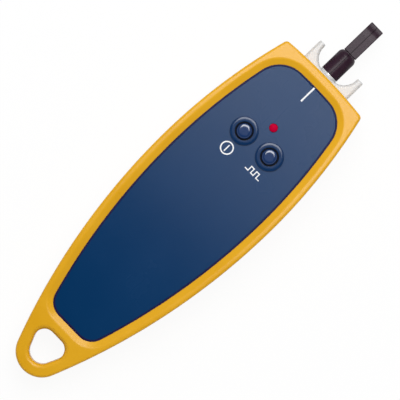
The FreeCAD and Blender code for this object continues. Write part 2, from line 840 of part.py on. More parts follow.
def tab_slot(side):
    """Slot in the bay's head wall and roof for a contact's solder tab."""
    middle = side + "cell_x"
    half = "(tab_width/2 + plate_gap)"
    return box("tab_slot", (f"{middle} - {half}", f"{middle} + {half}"),
               ("bay_head_y - contact_thick - slide_gap", "bay_head_y + bay_wall + 1"),
               ("cell_z + bay_r/2", "board_z + 1"))


def hook_places():
    return ["bay_tail_y + hook_tail_clear", "bay_head_y - hook_head_clear"]


def hook_slots(side):
    """Undercuts in the bay's side wall for the door's hooks, and the notches they lift out of."""
    solids = []
    for y in hook_places():
        out = "bay_half_width + hook_reach + plate_gap"
        for low, high, low_z, high_z in (
                (f"{y} - plate_gap", f"{y} + 2*hook_length + plate_gap", "floor_top_z",
                 "floor_top_z + hook_high + 2*plate_gap"),
                (f"{y} + hook_length - plate_gap", f"{y} + 2*hook_length + plate_gap", "0",
                 "floor_top_z + 0.1")):
            inner = "(bay_half_width - hook_thick)"
            wide = (f"-({out})", f"-{inner}") if side else (inner, out)
            solids.append(box("hook_slot", wide, (low, high), (low_z, high_z)))
    return solids


def cradles():
    """Saddles under the laser holder, and stops behind the guard's flange."""
    solids = []
    wall = "(collar_flange_r + cradle_wall)"
    for y in ("holder_back_y + cradle_thick", "collar_back_y - 1.6*cradle_thick"):
        solids.append(box("cradle", (f"-{wall}", wall), (y, f"{y} + cradle_thick"),
                          ("floor_top_z - 0.5", "port_z")))
    for side in ("", "-"):
        near, far = "(guard_half_width - cradle_wall)", "(guard_half_width + cradle_wall)"
        wide = (f"-{far}", f"-{near}") if side else (near, far)
        solids.append(box("guard_stop", wide, ("flange_back_y - cradle_thick", "flange_back_y"),
                          ("floor_top_z - 0.5", "split_z - 1")))
    return solids


def make_battery_door():
    """Sliding door: a plate over the bay with four hooks and a ribbed thumb grip."""
    plate = door_form("door_plate", "0", "door_top_z - door_thick", "door_top_z")
    solids, grooves = [plate], []
    for side in ("", "-"):
        for y in hook_places():
            solids += door_hook(side, y)
    for index in range(2, 7):
        y = f"door_tail_y + {index}*grip_pitch"
        grooves.append(box("grip_groove", ("-door_half_width/2", "door_half_width/2"),
                           (y, f"{y} + grip_pitch/2"), ("0", "door_top_z - door_thick + grip_deep")))
    return cut("battery_door", fuse("door_with_hooks", solids), grooves)


def door_hook(side, y):
    """An L-shaped hook: a web inside the bay's mouth and a foot over the floor."""
    inner, outer = "bay_half_width - hook_thick - plate_gap", "bay_half_width - plate_gap"
    reach = "bay_half_width + hook_reach - plate_gap"
    foot_z = "floor_top_z + slide_gap"
    web_x, foot_x = (inner, outer), (inner, reach)
    if side:
        web_x, foot_x = (f"-({outer})", f"-({inner})"), (f"-({reach})", f"-({inner})")
    end = (y, f"{y} + hook_length - plate_gap")
    return [box("hook_web", web_x, end, ("door_top_z - 0.5", f"{foot_z} + hook_high")),
            box("hook_foot", foot_x, end, (foot_z, f"{foot_z} + hook_high"))]


# ---------------------------------------------------------------- cells and contacts

def make_cell(label, side, turned):
    """An AA cell: a can with a beaded shoulder and its nub, turned end for end or not."""
    body = new_body(label)
    end, tip = "cell_length", "cell_length + nub_length"
    turn(body, outline(new_sketch(body, "XZ"), [
        ("0", "0"), ("cell_r - cell_edge", "0"), ("cell_r", "cell_edge"),
        ("cell_r", f"{end} - cell_bead"), ("cell_r - cell_bead", end),
        ("nub_r", end), ("nub_r", tip), ("0", tip)]))
    body.Placement.Rotation = FreeCAD.Rotation(Vector(1, 0, 0), 90 if turned else -90)
    bind(body, "Placement.Base.x", side + "cell_x")
    far = "bay_head_y - contact_thick - spring_length"
    near = "bay_tail_y + contact_thick + spring_length"
    bind(body, "Placement.Base.y", far if turned else near)
    bind(body, "Placement.Base.z", "cell_z")
    return body


def contact_plate(label, low_x, high_x, y):
    """A flat spring-steel plate that stands in a slot at one end of the bay."""
    return box(label, (low_x, high_x), (y, f"{y} + contact_thick"),
               ("case_bottom_z + 1.4", "cell_z + bay_r/2"))


def bump(label, side, y, sign):
    """The pressed dome that a cell's nub bears on."""
    body = new_body(label)
    turn(body, outline(new_sketch(body, "XZ"), [
        ("0", "-0.1"), ("2.2*contact_bump", "-0.1"), ("2.2*contact_bump", "0"),
        ("0.8*contact_bump", "contact_bump"), ("0", "contact_bump")]))
    body.Placement.Rotation = FreeCAD.Rotation(Vector(1, 0, 0), -90 * sign)
    bind(body, "Placement.Base.x", side + "cell_x")
    bind(body, "Placement.Base.y", y)
    bind(body, "Placement.Base.z", "cell_z")
    return body


def solder_tab(label, side):
    """The tab that rises from a contact and lies on the board's edge."""
    middle, half = side + "cell_x", "tab_width/2"
    wide = (f"{middle} - {half}", f"{middle} + {half}")
    back, front = "bay_head_y - contact_thick", "bay_head_y"
    rise = box(label, wide, (back, front), ("cell_z + bay_r/2 - 0.2", "board_top_z + contact_thick"))
    lie = box(label + "_foot", wide, (back, "board_tail_y + tab_reach"),
              ("board_top_z", "board_top_z + contact_thick"))
    return [rise, lie]


def leaf(label, side, y, sign):
    """A sprung leaf bent out of a contact plate, bearing on a cell's flat end."""
    body = new_body(label)
    reach = "spring_length - slide_gap"
    thick = "contact_thick"
    crest, tip, tip_high = "0.4*leaf_reach", "-0.75*leaf_reach", f"0.45*({reach})"
    profile = [("leaf_reach", "0"), (crest, reach), (f"-{crest}", reach), (tip, tip_high),
               (f"{tip} + {thick}", tip_high), (f"-{crest} + 0.6*{thick}", f"{reach} - {thick}"),
               (f"{crest} - 0.6*{thick}", f"{reach} - {thick}"), (f"leaf_reach - {thick}", "0")]
    pad(body, outline(new_sketch(body, "YZ"), profile), "leaf_width", both=True)
    body.Placement.Rotation = FreeCAD.Rotation(Vector(1, 0, 0), -90 * sign)
    bind(body, "Placement.Base.x", side + "cell_x")
    bind(body, "Placement.Base.y", y)
    bind(body, "Placement.Base.z", "cell_z")
    return body


# ---------------------------------------------------------------- board and what it carries

def make_board():
    """The circuit board, with its screw holes and the holes for leads and pins."""
    body = new_body("board_blank")
    pad(body, rectangle(new_sketch(body, "XY", "board_z"), "-board_half_width", "board_half_width",
                        "board_tail_y", "board_head_y"), "board_thick")
    round_edges(body, is_upright, "case_edge")
    holes = [rod("board_hole", "pin_screw_r + skin_gap", "board_z - 1", "board_top_z + 1", place)
             for place in post_places()]
    for x, y in lead_places() + pin_places():
        holes.append(lead("lead_hole", "lead_half + skin_gap", "board_z - 1", "board_top_z + 1", x, y))
    return cut("circuit_board", body, holes)


def lead(label, half, low_z, high_z, x, y):
    """An upright square lead, or the hole for one."""
    return box(label, (f"{x} - ({half})", f"{x} + ({half})"), (f"{y} - ({half})", f"{y} + ({half})"),
               (low_z, high_z))


def lead_places():
    return [(sign + "lead_pitch/2", "lamp_y") for sign in ("", "-")]


def pin_places():
    """Where the laser's three pins come up through the board."""
    near, far = "holder_back_y - pin_bend", "holder_back_y - pin_bend - pin_step"
    return [("pin_reach", near), ("-pin_reach", near), ("0", far)]


def make_switch(label, side):
    """Square tactile switch: a moulded base with a round way for its plunger."""
    body = new_body(label + "_base")
    half = "switch_side/2"
    pad(body, rectangle(new_sketch(body, "XY", "board_top_z"), f"-{half}", half, f"-{half}", half),
        "switch_high")
    round_edges(body, is_upright, "0.4")
    pocket(body, circle(new_sketch(body, "XY", "switch_top_z"), "0", "0", "plunger_r + slide_gap"),
           "switch_high - switch_floor")
    bind(body, "Placement.Base.x", side + "key_x")
    bind(body, "Placement.Base.y", "key_y")
    body.Label = label
    return body


def make_plunger(label, side):
    body = new_body(label)
    low = "board_top_z + switch_floor + key_travel + plate_gap"
    pad(body, circle(new_sketch(body, "XY", low), "0", "0", "plunger_r"), f"key_foot_z - ({low})")
    bind(body, "Placement.Base.x", side + "key_x")
    bind(body, "Placement.Base.y", "key_y")
    return body


def make_key(label, side):
    """Press key: a dished, domed cap with a flange that keeps it behind the panel."""
    body = new_body(label)
    base = "(" + crown_z("key_y", "panel_recess") + ")"
    top = f"({base} + collar_rise + key_rise)"
    foot = "key_foot_z"
    flange_top = f"({foot} + key_flange)"
    turn(body, outline(new_sketch(body, "XZ"), [
        ("0", foot), ("key_r + key_lip", foot), ("key_r + key_lip", flange_top), ("key_r", flange_top),
        ("key_r", f"{top} - key_edge"), ("key_r - key_edge", top), ("0", f"{top} - key_dish")]))
    bind(body, "Placement.Base.x", side + "key_x")
    bind(body, "Placement.Base.y", "key_y")
    return body


def make_lamp():
    """Round indicator lamp with its rim and two leads."""
    body = new_body("lamp_bulb")
    top = "(" + crown_z("lamp_y", "panel_recess") + " + lamp_rise)"
    low = "(board_top_z + lamp_stand)"
    turn(body, outline(new_sketch(body, "XZ"), [
        ("0", low), ("lamp_r + lamp_rim", low), ("lamp_r + lamp_rim", f"{low} + lamp_rim_high"),
        ("lamp_r", f"{low} + lamp_rim_high"),
        ("lamp_r", f"{top} - lamp_r/2"), ("lamp_r/2", f"{top} - lamp_r/8"), ("0", top)]))
    bind(body, "Placement.Base.y", "lamp_y")
    leads = [lead("lamp_lead", "lead_half", "board_z - 0.8", f"{low} + 0.5", x, y)
             for x, y in lead_places()]
    return fuse("indicator_lamp", [body] + leads)


def driver_y(share):
    """A station on the board, as a share of the way from its tail edge to the switches."""
    return f"(board_tail_y + {share}*(key_y - switch_side/2 - board_tail_y))"


def make_chip():
    """Laser driver chip: a small moulded body on eight bent legs."""
    body = new_body("chip_body")
    z = "board_top_z + 0.15"
    pad(body, rectangle(new_sketch(body, "XY", z), "-chip_half_long", "chip_half_long",
                        "-chip_half_wide", "chip_half_wide"), "chip_high")
    bevel_edges(body, lambda e: is_level(e, value(f"{z} + chip_high")), "leg_thick")
    bind(body, "Placement.Base.y", driver_y(0.46))
    legs = []
    root, knee, low = "chip_half_wide - 0.35", "(chip_half_wide + 0.45)", "board_top_z"
    high = f"{low} + chip_high/2"
    for side in (1, -1):
        for index in range(4):
            leg = new_body("chip_leg")
            profile = outline(new_sketch(leg, "YZ", "-leg_thick"), [
                (root, high), (knee, high), (f"{knee} + 0.15", low), ("leg_reach", low),
                ("leg_reach", f"{low} + leg_thick"), (f"{knee} + 0.32", f"{low} + leg_thick"),
                (f"{knee} + 0.17", f"{high} + leg_thick"), (root, f"{high} + leg_thick")])
            pad(leg, profile, "2*leg_thick")
            leg.Placement.Rotation = FreeCAD.Rotation(Vector(0, 0, 1), 0 if side > 0 else 180)
            bind(leg, "Placement.Base.x", f"leg_pitch*{index - 1.5:g}")
            bind(leg, "Placement.Base.y", driver_y(0.46))
            legs.append(leg)
    return fuse("driver_chip", [body] + legs)


def make_board_parts():
    """The driver's coil, capacitors and resistors, each soldered flat on the board."""
    coil = new_body("coil_block")
    half = "coil_side/2"
    pad(coil, rectangle(new_sketch(coil, "XY", "board_top_z"), f"-{half}", half, f"-{half}", half),
        "coil_high")
    bevel_edges(coil, is_upright, "coil_side/6")
    bind(coil, "Placement.Base.x", "-board_half_width/2 - 1")
    bind(coil, "Placement.Base.y", driver_y(0.46))
    solids = [coil]
    places = [("0.4*board_half_width", share, "large_part") for share in (0.38, 0.53)]
    places += [(f"{x}*small_part - small_part/2", 0.71, "small_part") for x in (-1.5, 0, 1.5)]
    for x, share, side in places:
        y = driver_y(share)
        solids.append(box("chip_part", (x, f"{x} + {side}"), (y, f"{y} + {side}/2"),
                          ("board_top_z", f"board_top_z + 0.4*{side}")))
    return group("board_parts", solids)


# ---------------------------------------------------------------- laser and optical port

def turned_part(label, points):
    """A part turned about the port's axis, from (radius, y) points."""
    body = new_body(label)
    turn(body, outline(new_sketch(body, "XY", "port_z"), points))
    return body


def make_laser_holder():
    """Brass holder: diode seat, lens seat and the spigot that enters the barrel."""
    back, front = "holder_back_y", "holder_front_y"
    lens_r = "lens_r + slide_gap/2"
    return turned_part("laser_holder", [
        ("diode_flange_r + slide_gap", back), ("collar_flange_r", back), ("collar_flange_r", front),
        ("spigot_r", front), ("spigot_r", f"{front} + spigot_length"),
        ("0.7*lens_r", f"{front} + spigot_length"),
        ("0.7*lens_r", "lens_tail_y + lens_length + slide_gap"),
        (lens_r, "lens_tail_y + lens_length + slide_gap"), (lens_r, "diode_seat_y"),
        ("diode_flange_r + slide_gap", "diode_seat_y")])


def make_laser_diode():
    """Laser diode: flange, capped can and three pins bent up to the board."""
    seat = "(diode_seat_y - slide_gap)"
    can = turned_part("diode_can", [
        ("0", f"{seat} - diode_flange"), ("diode_flange_r", f"{seat} - diode_flange"),
        ("diode_flange_r", seat),
        ("diode_can_r", seat), ("diode_can_r", f"{seat} + diode_can_length - 0.2"),
        ("diode_can_r - 0.2", f"{seat} + diode_can_length"), ("0", f"{seat} + diode_can_length")])
    solids = [can]
    for x, y in pin_places():
        z = "port_z" if x != "0" else "port_z - pin_reach"
        solids.append(box("diode_pin", (f"{x} - lead_half", f"{x} + lead_half"),
                          (f"{y} - lead_half", f"{seat} - 1"), (f"{z} - lead_half", f"{z} + lead_half")))
        solids.append(lead("diode_rise", "lead_half", z, "board_top_z + 0.8", x, y))
    return fuse("laser_diode", solids)


def make_lens():
    """Graded-index rod lens: flat ends, with a bevelled rim at each."""
    low, high = "lens_tail_y", "lens_tail_y + lens_length"
    return turned_part("focus_lens", [
        ("0", low), ("lens_r - lens_edge", low), ("lens_r", f"{low} + lens_edge"),
        ("lens_r", f"{high} - lens_edge"), ("lens_r - lens_edge", high), ("0", high)])


def make_barrel():
    """Metal port barrel: rear collar, sleeve bore and a lipped mouth."""
    back, front, mouth = "collar_back_y", "collar_front_y", "barrel_mouth_y"
    bore, lip = "(sleeve_r + thread_gap/2)", "(ferrule_r + mouth_gap)"
    wall, step = f"{front} - collar_web", "sleeve_head_y + seat_gap"
    return turned_part("port_barrel", [
        (bore, wall), ("spigot_r + slide_gap", wall), ("spigot_r + slide_gap", back),
        ("collar_flange_r", back), ("collar_flange_r", front), ("barrel_r", front),
        ("barrel_r", f"{mouth} - barrel_edge"), ("barrel_r - barrel_edge", mouth),
        (f"{lip} + mouth_lip/2", mouth), (lip, f"{mouth} - mouth_lip/2"), (lip, step),
        (bore, step)])


def make_aperture():
    """Aperture ring that the spigot presses against the alignment sleeve's inner end."""
    low, high = "holder_front_y + spigot_length + seat_gap", "sleeve_tail_y - seat_gap"
    return turned_part("aperture_ring", [
        ("aperture_r", low), ("sleeve_r", low), ("sleeve_r", high), ("aperture_r", high)])


def make_sleeve():
    """Ceramic alignment sleeve with its lengthwise slot."""
    tube = turned_part("sleeve_tube", [
        ("ferrule_r", "sleeve_tail_y"), ("sleeve_r", "sleeve_tail_y"),
        ("sleeve_r", "sleeve_head_y"), ("ferrule_r", "sleeve_head_y")])
    slot = box("sleeve_slot_cut", ("-sleeve_slot/2", "sleeve_slot/2"),
               ("sleeve_tail_y - 1", "sleeve_head_y + 1"), ("port_z - 2*sleeve_r", "port_z"))
    return cut("split_sleeve", tube, [slot])


def make_guard():
    """White nose guard: a saddle with two horns beside the port, flanged inside the case."""
    body = new_body("guard_form")
    inner = "(guard_half_width - horn_width)"
    hollow = f"({inner} - saddle_half_width)"
    low = "port_z - guard_half_high"
    pad(body, outline(new_sketch(body, "XY", low), [
        ("-guard_half_width", "flange_back_y"), ("guard_half_width", "flange_back_y"),
        ("guard_half_width", "horn_tip_y"), (inner, "horn_tip_y"),
        (inner, f"saddle_y + {hollow}"), ("saddle_half_width", "saddle_y", f"-{hollow}"),
        ("-saddle_half_width", "saddle_y"), (f"-{inner}", f"saddle_y + {hollow}", f"-{hollow}"),
        (f"-{inner}", "horn_tip_y"), ("-guard_half_width", "horn_tip_y")]), "2*guard_half_high")
    tip_y = value("horn_tip_y")
    round_edges(body, lambda e: is_upright(e) and e.BoundBox.YMin > tip_y - 0.01, "horn_width/3")
    low_z, high_z = value(low), value("port_z + guard_half_high")
    shown_y = value("saddle_y") - 0.01

    def outer_rim(edge):
        return (is_level(edge, low_z) or is_level(edge, high_z)) and edge.BoundBox.YMin > shown_y
    bevel_edges(body, outer_rim, "horn_edge")
    step = "guard_flange_step"
    flange = box("guard_flange_plate", (f"-(guard_half_width + {step})", f"guard_half_width + {step}"),
                 ("flange_back_y", "flange_front_y"),
                 (f"port_z - guard_half_high - {step}", f"port_z + guard_half_high + {step}"))
    way = rod("guard_way", "barrel_r + slide_gap", "flange_back_y - 1", "saddle_y + 1",
              ("0", "port_z"), "y")
    return cut("nose_guard", fuse("guard_with_flange", [body, flange]), [way])


def make_cap():
    """Rubber dust cap: a skirt over the barrel, a rounded shoulder and a flat grip tab."""
    hollow_y = "barrel_mouth_y + cap_end_gap"
    skirt = turned_part("cap_skirt", [
        ("0", hollow_y), ("barrel_r + slide_gap", hollow_y), ("barrel_r + slide_gap", "cap_mouth_y"),
        ("cap_r", "cap_mouth_y"), ("cap_r", "cap_shoulder_y"),
        ("tab_half_width", "cap_neck_y"), ("0", "cap_neck_y")])
    tab = new_body("cap_tab")
    pad(tab, rectangle(new_sketch(tab, "XY", "port_z"), "-tab_half_width", "tab_half_width",
                       "cap_neck_y - tab_root", "cap_end_y"), "2*tab_half_thick", both=True)
    end = value("cap_end_y")
    round_edges(tab, lambda e: is_upright(e) and e.BoundBox.YMin > end - 0.01, "tab_half_width/3")
    grip = new_body("cap_grip")
    pad(grip, rectangle(new_sketch(grip, "XY", "port_z"), "-tab_half_width", "tab_half_width",
                        "cap_end_y - grip_length", "cap_end_y"),
        "2*(tab_half_thick + grip_rise)", both=True)
    round_edges(grip, lambda e: is_upright(e) and e.BoundBox.YMin > end - 0.01, "tab_half_width/3")
    return fuse("dust_cap", [skirt, tab, grip])


# ---------------------------------------------------------------- screws

def make_screws(label, places, head_r, shank_r, length, seat):
    """Like screws side by side, heads down, with a cross recess."""
    solids = []
    for x, y in places:
        body = new_body(label + "_one")
        high = f"{head_r}*screw_head_share"
        turn(body, outline(new_sketch(body, "XZ"), [
            ("0", f"-{high}"), (head_r, f"-{high}"),
            (head_r, "0"), (shank_r, "0"), (shank_r, length), ("0", length)]))
        wide, long = f"{head_r}*recess_wide", f"{head_r}*recess_long"
        for x_half, y_half in ((wide, long), (long, wide)):
            pocket(body, rectangle(new_sketch(body, "XY", f"-{high}"), f"-{x_half}", x_half,
                                   f"-{y_half}", y_half), f"{high}/2", back=True)
        for axis, text in zip("xyz", (x, y, seat)):
            bind(body, "Placement.Base." + axis, text)
        solids.append(body)
    return group(label, solids)


# ---------------------------------------------------------------- document

def make_nodes():
    plate_low, plate_high = "-(bay_half_width - contact_inset)", "bay_half_width - contact_inset"
    head_plate_y = "bay_head_y - contact_thick"
    make_boot()
    make_front_cover()
    make_rear_housing()
    make_battery_door()
    make_cell("battery_1", "-", False)
    make_cell("battery_2", "", True)
    fuse("bridge_contact", [contact_plate("bridge_plate", plate_low, plate_high, "bay_tail_y"),
                            bump("bridge_bump", "", "bay_tail_y + contact_thick", 1),
                            leaf("bridge_leaf", "-", "bay_tail_y + contact_thick", 1)])
    fuse("positive_contact", [contact_plate("positive_plate", plate_low, "-1", head_plate_y),
                              bump("positive_bump", "-", head_plate_y, -1)]
         + solder_tab("positive_tab", "-"))
    fuse("negative_contact", [contact_plate("negative_plate", "1", plate_high, head_plate_y),
                              leaf("negative_leaf", "", head_plate_y, -1)]
         + solder_tab("negative_tab", ""))
    make_board()
    for name, side in (("power", "-"), ("flash", "")):
        make_switch(name + "_switch", side)
        make_plunger(name + "_plunger", side)
        make_key(name + "_button", side)
    make_lamp()
    make_chip()
    make_board_parts()
    make_laser_holder()
    make_laser_diode()
    make_lens()
    make_barrel()
    make_aperture()
    make_sleeve()
    make_guard()
    make_cap()
    make_screws("case_screws", screw_places(), "screw_head_r", "screw_r", "screw_length",
                "case_bottom_z + screw_seat")
    make_screws("board_screws", post_places(), "pin_screw_head_r", "pin_screw_r",
                "pin_screw_length", "board_z")


NODES = [
    "boot", "front_cover", "rear_housing", "battery_door", "battery_1", "battery_2",
    "bridge_contact", "positive_contact", "negative_contact", "circuit_board",
    "power_switch", "power_plunger", "power_button", "flash_switch", "flash_plunger",
    "flash_button", "indicator_lamp", "driver_chip", "board_parts", "laser_holder",
    "laser_diode", "focus_lens", "port_barrel", "aperture_ring", "split_sleeve", "nose_guard",
    "dust_cap", "case_screws", "board_screws",
]

doc = FreeCAD.newDocument("visual_fault_locator")
sheet = doc.addObject("Spreadsheet::Sheet", "Sizes")
for row, (name, number) in enumerate(SIZES.items(), start=1):
    sheet.set(f"A{row}", name)
    sheet.set(f"B{row}", str(number))
    sheet.setAlias(f"B{row}", name)
doc.recompute()
make_nodes()
doc.recompute()

failed = [item.Name for item in doc.Objects if {"Invalid", "Error"} & set(item.State)]
if failed:
    raise ValueError("failed objects: " + ", ".join(failed))
os.makedirs("parts", exist_ok=True)
for name in NODES:
    shape = doc.getObjectsByLabel(name)[0].Shape
    if shape.isNull() or not shape.isValid() or not shape.Solids:
        raise ValueError(name + " has no valid solid")
    shape.exportStep(f"parts/{name}.step")
    print(f"{name}: {len(shape.Solids)} solid, {shape.Volume:.1f} mm3")
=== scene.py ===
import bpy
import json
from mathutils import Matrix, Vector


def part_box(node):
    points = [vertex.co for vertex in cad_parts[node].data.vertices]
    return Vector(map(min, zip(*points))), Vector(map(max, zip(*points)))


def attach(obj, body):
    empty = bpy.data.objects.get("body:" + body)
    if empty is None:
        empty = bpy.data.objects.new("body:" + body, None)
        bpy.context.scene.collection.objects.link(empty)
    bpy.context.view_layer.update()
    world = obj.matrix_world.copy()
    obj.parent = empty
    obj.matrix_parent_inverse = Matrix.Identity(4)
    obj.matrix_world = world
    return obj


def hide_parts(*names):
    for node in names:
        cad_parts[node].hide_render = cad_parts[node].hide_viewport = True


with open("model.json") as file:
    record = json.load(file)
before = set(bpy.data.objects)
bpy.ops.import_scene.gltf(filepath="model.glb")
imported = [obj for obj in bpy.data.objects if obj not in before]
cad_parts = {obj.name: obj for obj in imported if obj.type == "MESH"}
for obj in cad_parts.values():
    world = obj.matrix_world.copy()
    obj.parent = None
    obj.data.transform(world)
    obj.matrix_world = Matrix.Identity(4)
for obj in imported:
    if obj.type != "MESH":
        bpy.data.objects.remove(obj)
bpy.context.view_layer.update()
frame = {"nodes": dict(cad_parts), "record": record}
import json
import math
import bmesh
import bpy
from mathutils import Matrix, Vector

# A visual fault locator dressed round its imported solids.
# Sizes are in millimetres and become metres when a piece is made; the materials' own heights are in metres.
nodes = frame["nodes"]
mm = 0.001
print("frame loaded:", len(nodes), "solids")


# Material tools

def makeGroup(name, inputs, outputs):
    # inputs and outputs are (name, socket type, default)
    tree = bpy.data.node_groups.new(name, "ShaderNodeTree")
    for label, kind, start in inputs:
        socket = tree.interface.new_socket(name=label, in_out="INPUT", socket_type=kind)
        if start is not None:
            socket.default_value = start
    for label, kind in outputs:
        tree.interface.new_socket(name=label, in_out="OUTPUT", socket_type=kind)
    return tree, tree.nodes.new("NodeGroupInput"), tree.nodes.new("NodeGroupOutput")


def makeNoise(tree, vector, scale, detail, rough):
    noise = tree.nodes.new("ShaderNodeTexNoise")
    noise.inputs["Detail"].default_value = detail
    noise.inputs["Roughness"].default_value = rough
    tree.links.new(vector, noise.inputs["Vector"])
    if isinstance(scale, (int, float)):
        noise.inputs["Scale"].default_value = scale
    else:
        tree.links.new(scale, noise.inputs["Scale"])
    return noise.outputs["Fac"]


def makeMath(tree, operation, *values):
    node = tree.nodes.new("ShaderNodeMath")
    node.operation = operation
    for socket, given in zip(node.inputs, values):
        if isinstance(given, (int, float)):
            socket.default_value = given
        else:
            tree.links.new(given, socket)
    return node.outputs[0]


def makeRange(tree, given, fromLow, fromHigh, toLow, toHigh):
    node = tree.nodes.new("ShaderNodeMapRange")
    node.interpolation_type = "SMOOTHSTEP"
    tree.links.new(given, node.inputs["Value"])
    for label, number in (("From Min", fromLow), ("From Max", fromHigh), ("To Min", toLow), ("To Max", toHigh)):
        node.inputs[label].default_value = number
    return node.outputs["Result"]


def makeMix(tree, factor, first, second):
    node = tree.nodes.new("ShaderNodeMix")
    node.data_type = "RGBA"
    for socket, given in zip((node.inputs[0], node.inputs[6], node.inputs[7]), (factor, first, second)):
        if isinstance(given, tuple):
            socket.default_value = (*given, 1.0)
        else:
            tree.links.new(given, socket)
    return node.outputs[2]


def makeMouldSkin():
    # the fine spark texture of a moulded surface, its slow patchiness and the odd scuff
    tree, given, made = makeGroup(
        "mouldSkin",
        [("Vector", "NodeSocketVector", None), ("Grain Scale", "NodeSocketFloat", 2500.0),
         ("Patch Scale", "NodeSocketFloat", 60.0), ("Scuff Amount", "NodeSocketFloat", 0.3)],
        [("Grain", "NodeSocketFloat"), ("Patch", "NodeSocketFloat"), ("Scuff", "NodeSocketFloat")])
    vector = given.outputs["Vector"]
    fine = makeNoise(tree, vector, given.outputs["Grain Scale"], 2.0, 0.6)
    patch = makeNoise(tree, vector, given.outputs["Patch Scale"], 4.0, 0.55)
    stretch = tree.nodes.new("ShaderNodeMapping")
    stretch.inputs["Rotation"].default_value = (0.3, 0.2, 0.7)
    stretch.inputs["Scale"].default_value = (900.0, 60.0, 300.0)
    tree.links.new(vector, stretch.inputs["Vector"])
    streak = makeNoise(tree, stretch.outputs["Vector"], 1.0, 2.0, 0.5)
    worn = makeMath(tree, "MULTIPLY", makeRange(tree, streak, 0.62, 0.72, 0.0, 1.0),
                    makeRange(tree, patch, 0.5, 0.66, 0.0, 1.0))
    scuff = makeMath(tree, "MULTIPLY", worn, given.outputs["Scuff Amount"])
    for label, value in (("Grain", fine), ("Patch", patch), ("Scuff", scuff)):
        tree.links.new(value, made.inputs[label])
    return tree


def makeTurnedMarks():
    # fine rings round an axis along Y, as a lathe leaves them, and a slow change of tone
    tree, given, made = makeGroup(
        "turnedMarks", [("Vector", "NodeSocketVector", None), ("Pitch Scale", "NodeSocketFloat", 900.0)],
        [("Rings", "NodeSocketFloat"), ("Tone", "NodeSocketFloat")])
    stretch = tree.nodes.new("ShaderNodeMapping")
    stretch.inputs["Scale"].default_value = (0.02, 1.0, 0.02)
    tree.links.new(given.outputs["Vector"], stretch.inputs["Vector"])
    rings = makeNoise(tree, stretch.outputs["Vector"], given.outputs["Pitch Scale"], 3.0, 0.6)
    tone = makeNoise(tree, given.outputs["Vector"], 140.0, 3.0, 0.5)
    tree.links.new(rings, made.inputs["Rings"])
    tree.links.new(tone, made.inputs["Tone"])
    return tree


mouldSkin = makeMouldSkin()
turnedMarks = makeTurnedMarks()


def objectAxis(tree, axis):
    split = tree.nodes.new("ShaderNodeSeparateXYZ")
    tree.links.new(tree.nodes.new("ShaderNodeTexCoord").outputs["Object"], split.inputs[0])
    return split.outputs[axis]


def shaderOf(material):
    return next(n for n in material.node_tree.nodes if n.type == "BSDF_PRINCIPLED")


def endOf(tree):
    return next(n for n in tree.nodes if n.type == "OUTPUT_MATERIAL").inputs["Surface"]


def startMaterial(name):
    material = bpy.data.materials.new(name)
    material.use_nodes = True
    tree = material.node_tree
    tree.nodes.clear()
    shader = tree.nodes.new("ShaderNodeBsdfPrincipled")
    end = tree.nodes.new("ShaderNodeOutputMaterial")
    tree.links.new(shader.outputs[0], end.inputs["Surface"])
    place = tree.nodes.new("ShaderNodeTexCoord").outputs["Object"]
    return material, tree, shader, place


def addBump(tree, shader, height, strength, distance):
    bump = tree.nodes.new("ShaderNodeBump")
    bump.inputs["Strength"].default_value = strength
    bump.inputs["Distance"].default_value = distance * mm
    tree.links.new(height, bump.inputs["Height"])
    tree.links.new(bump.outputs["Normal"], shader.inputs["Normal"])


def placeGroup(tree, group, place, **settings):
    node = tree.nodes.new("ShaderNodeGroup")
    node.node_tree = group
    tree.links.new(place, node.inputs["Vector"])
    for label, number in settings.items():
        node.inputs[label].default_value = number
    return node


def mouldedMaterial(name, dark, light, rough, grain=2500.0, depth=0.03, patch=60.0, scuff=0.3, worn=None,
                    **sockets):
    # moulded plastic or rubber: two close tones, spark texture, scuffs that shine
    # the sockets hold the shader's own fixed values, with _ for a space
    material, tree, shader, place = startMaterial(name)
    skin = placeGroup(tree, mouldSkin, place,
                      **{"Grain Scale": grain, "Patch Scale": patch, "Scuff Amount": scuff})
    tone = makeRange(tree, skin.outputs["Patch"], 0.3, 0.7, 0.0, 1.0)
    colour = makeMix(tree, tone, dark, light)
    colour = makeMix(tree, skin.outputs["Scuff"], colour, worn or light)
    tree.links.new(colour, shader.inputs["Base Color"])
    base = makeRange(tree, skin.outputs["Patch"], 0.3, 0.7, rough[0], rough[1])
    tree.links.new(makeMath(tree, "SUBTRACT", base, makeMath(tree, "MULTIPLY", skin.outputs["Scuff"], 0.15)),
                   shader.inputs["Roughness"])
    addBump(tree, shader, skin.outputs["Grain"], 0.35, depth)
    for label, number in sockets.items():
        shader.inputs[label.replace("_", " ")].default_value = number
    return material


def metalMaterial(name, dark, light, rough):
    # turned or rolled metal
    material, tree, shader, place = startMaterial(name)
    marks = placeGroup(tree, turnedMarks, place)
    tone = makeRange(tree, marks.outputs["Tone"], 0.3, 0.7, 0.0, 1.0)
    tree.links.new(makeMix(tree, tone, dark, light), shader.inputs["Base Color"])
    tree.links.new(makeRange(tree, marks.outputs["Rings"], 0.3, 0.7, rough[0], rough[1]), shader.inputs["Roughness"])
    shader.inputs["Metallic"].default_value = 1.0
    addBump(tree, shader, marks.outputs["Rings"], 0.3, 0.01)
    return material


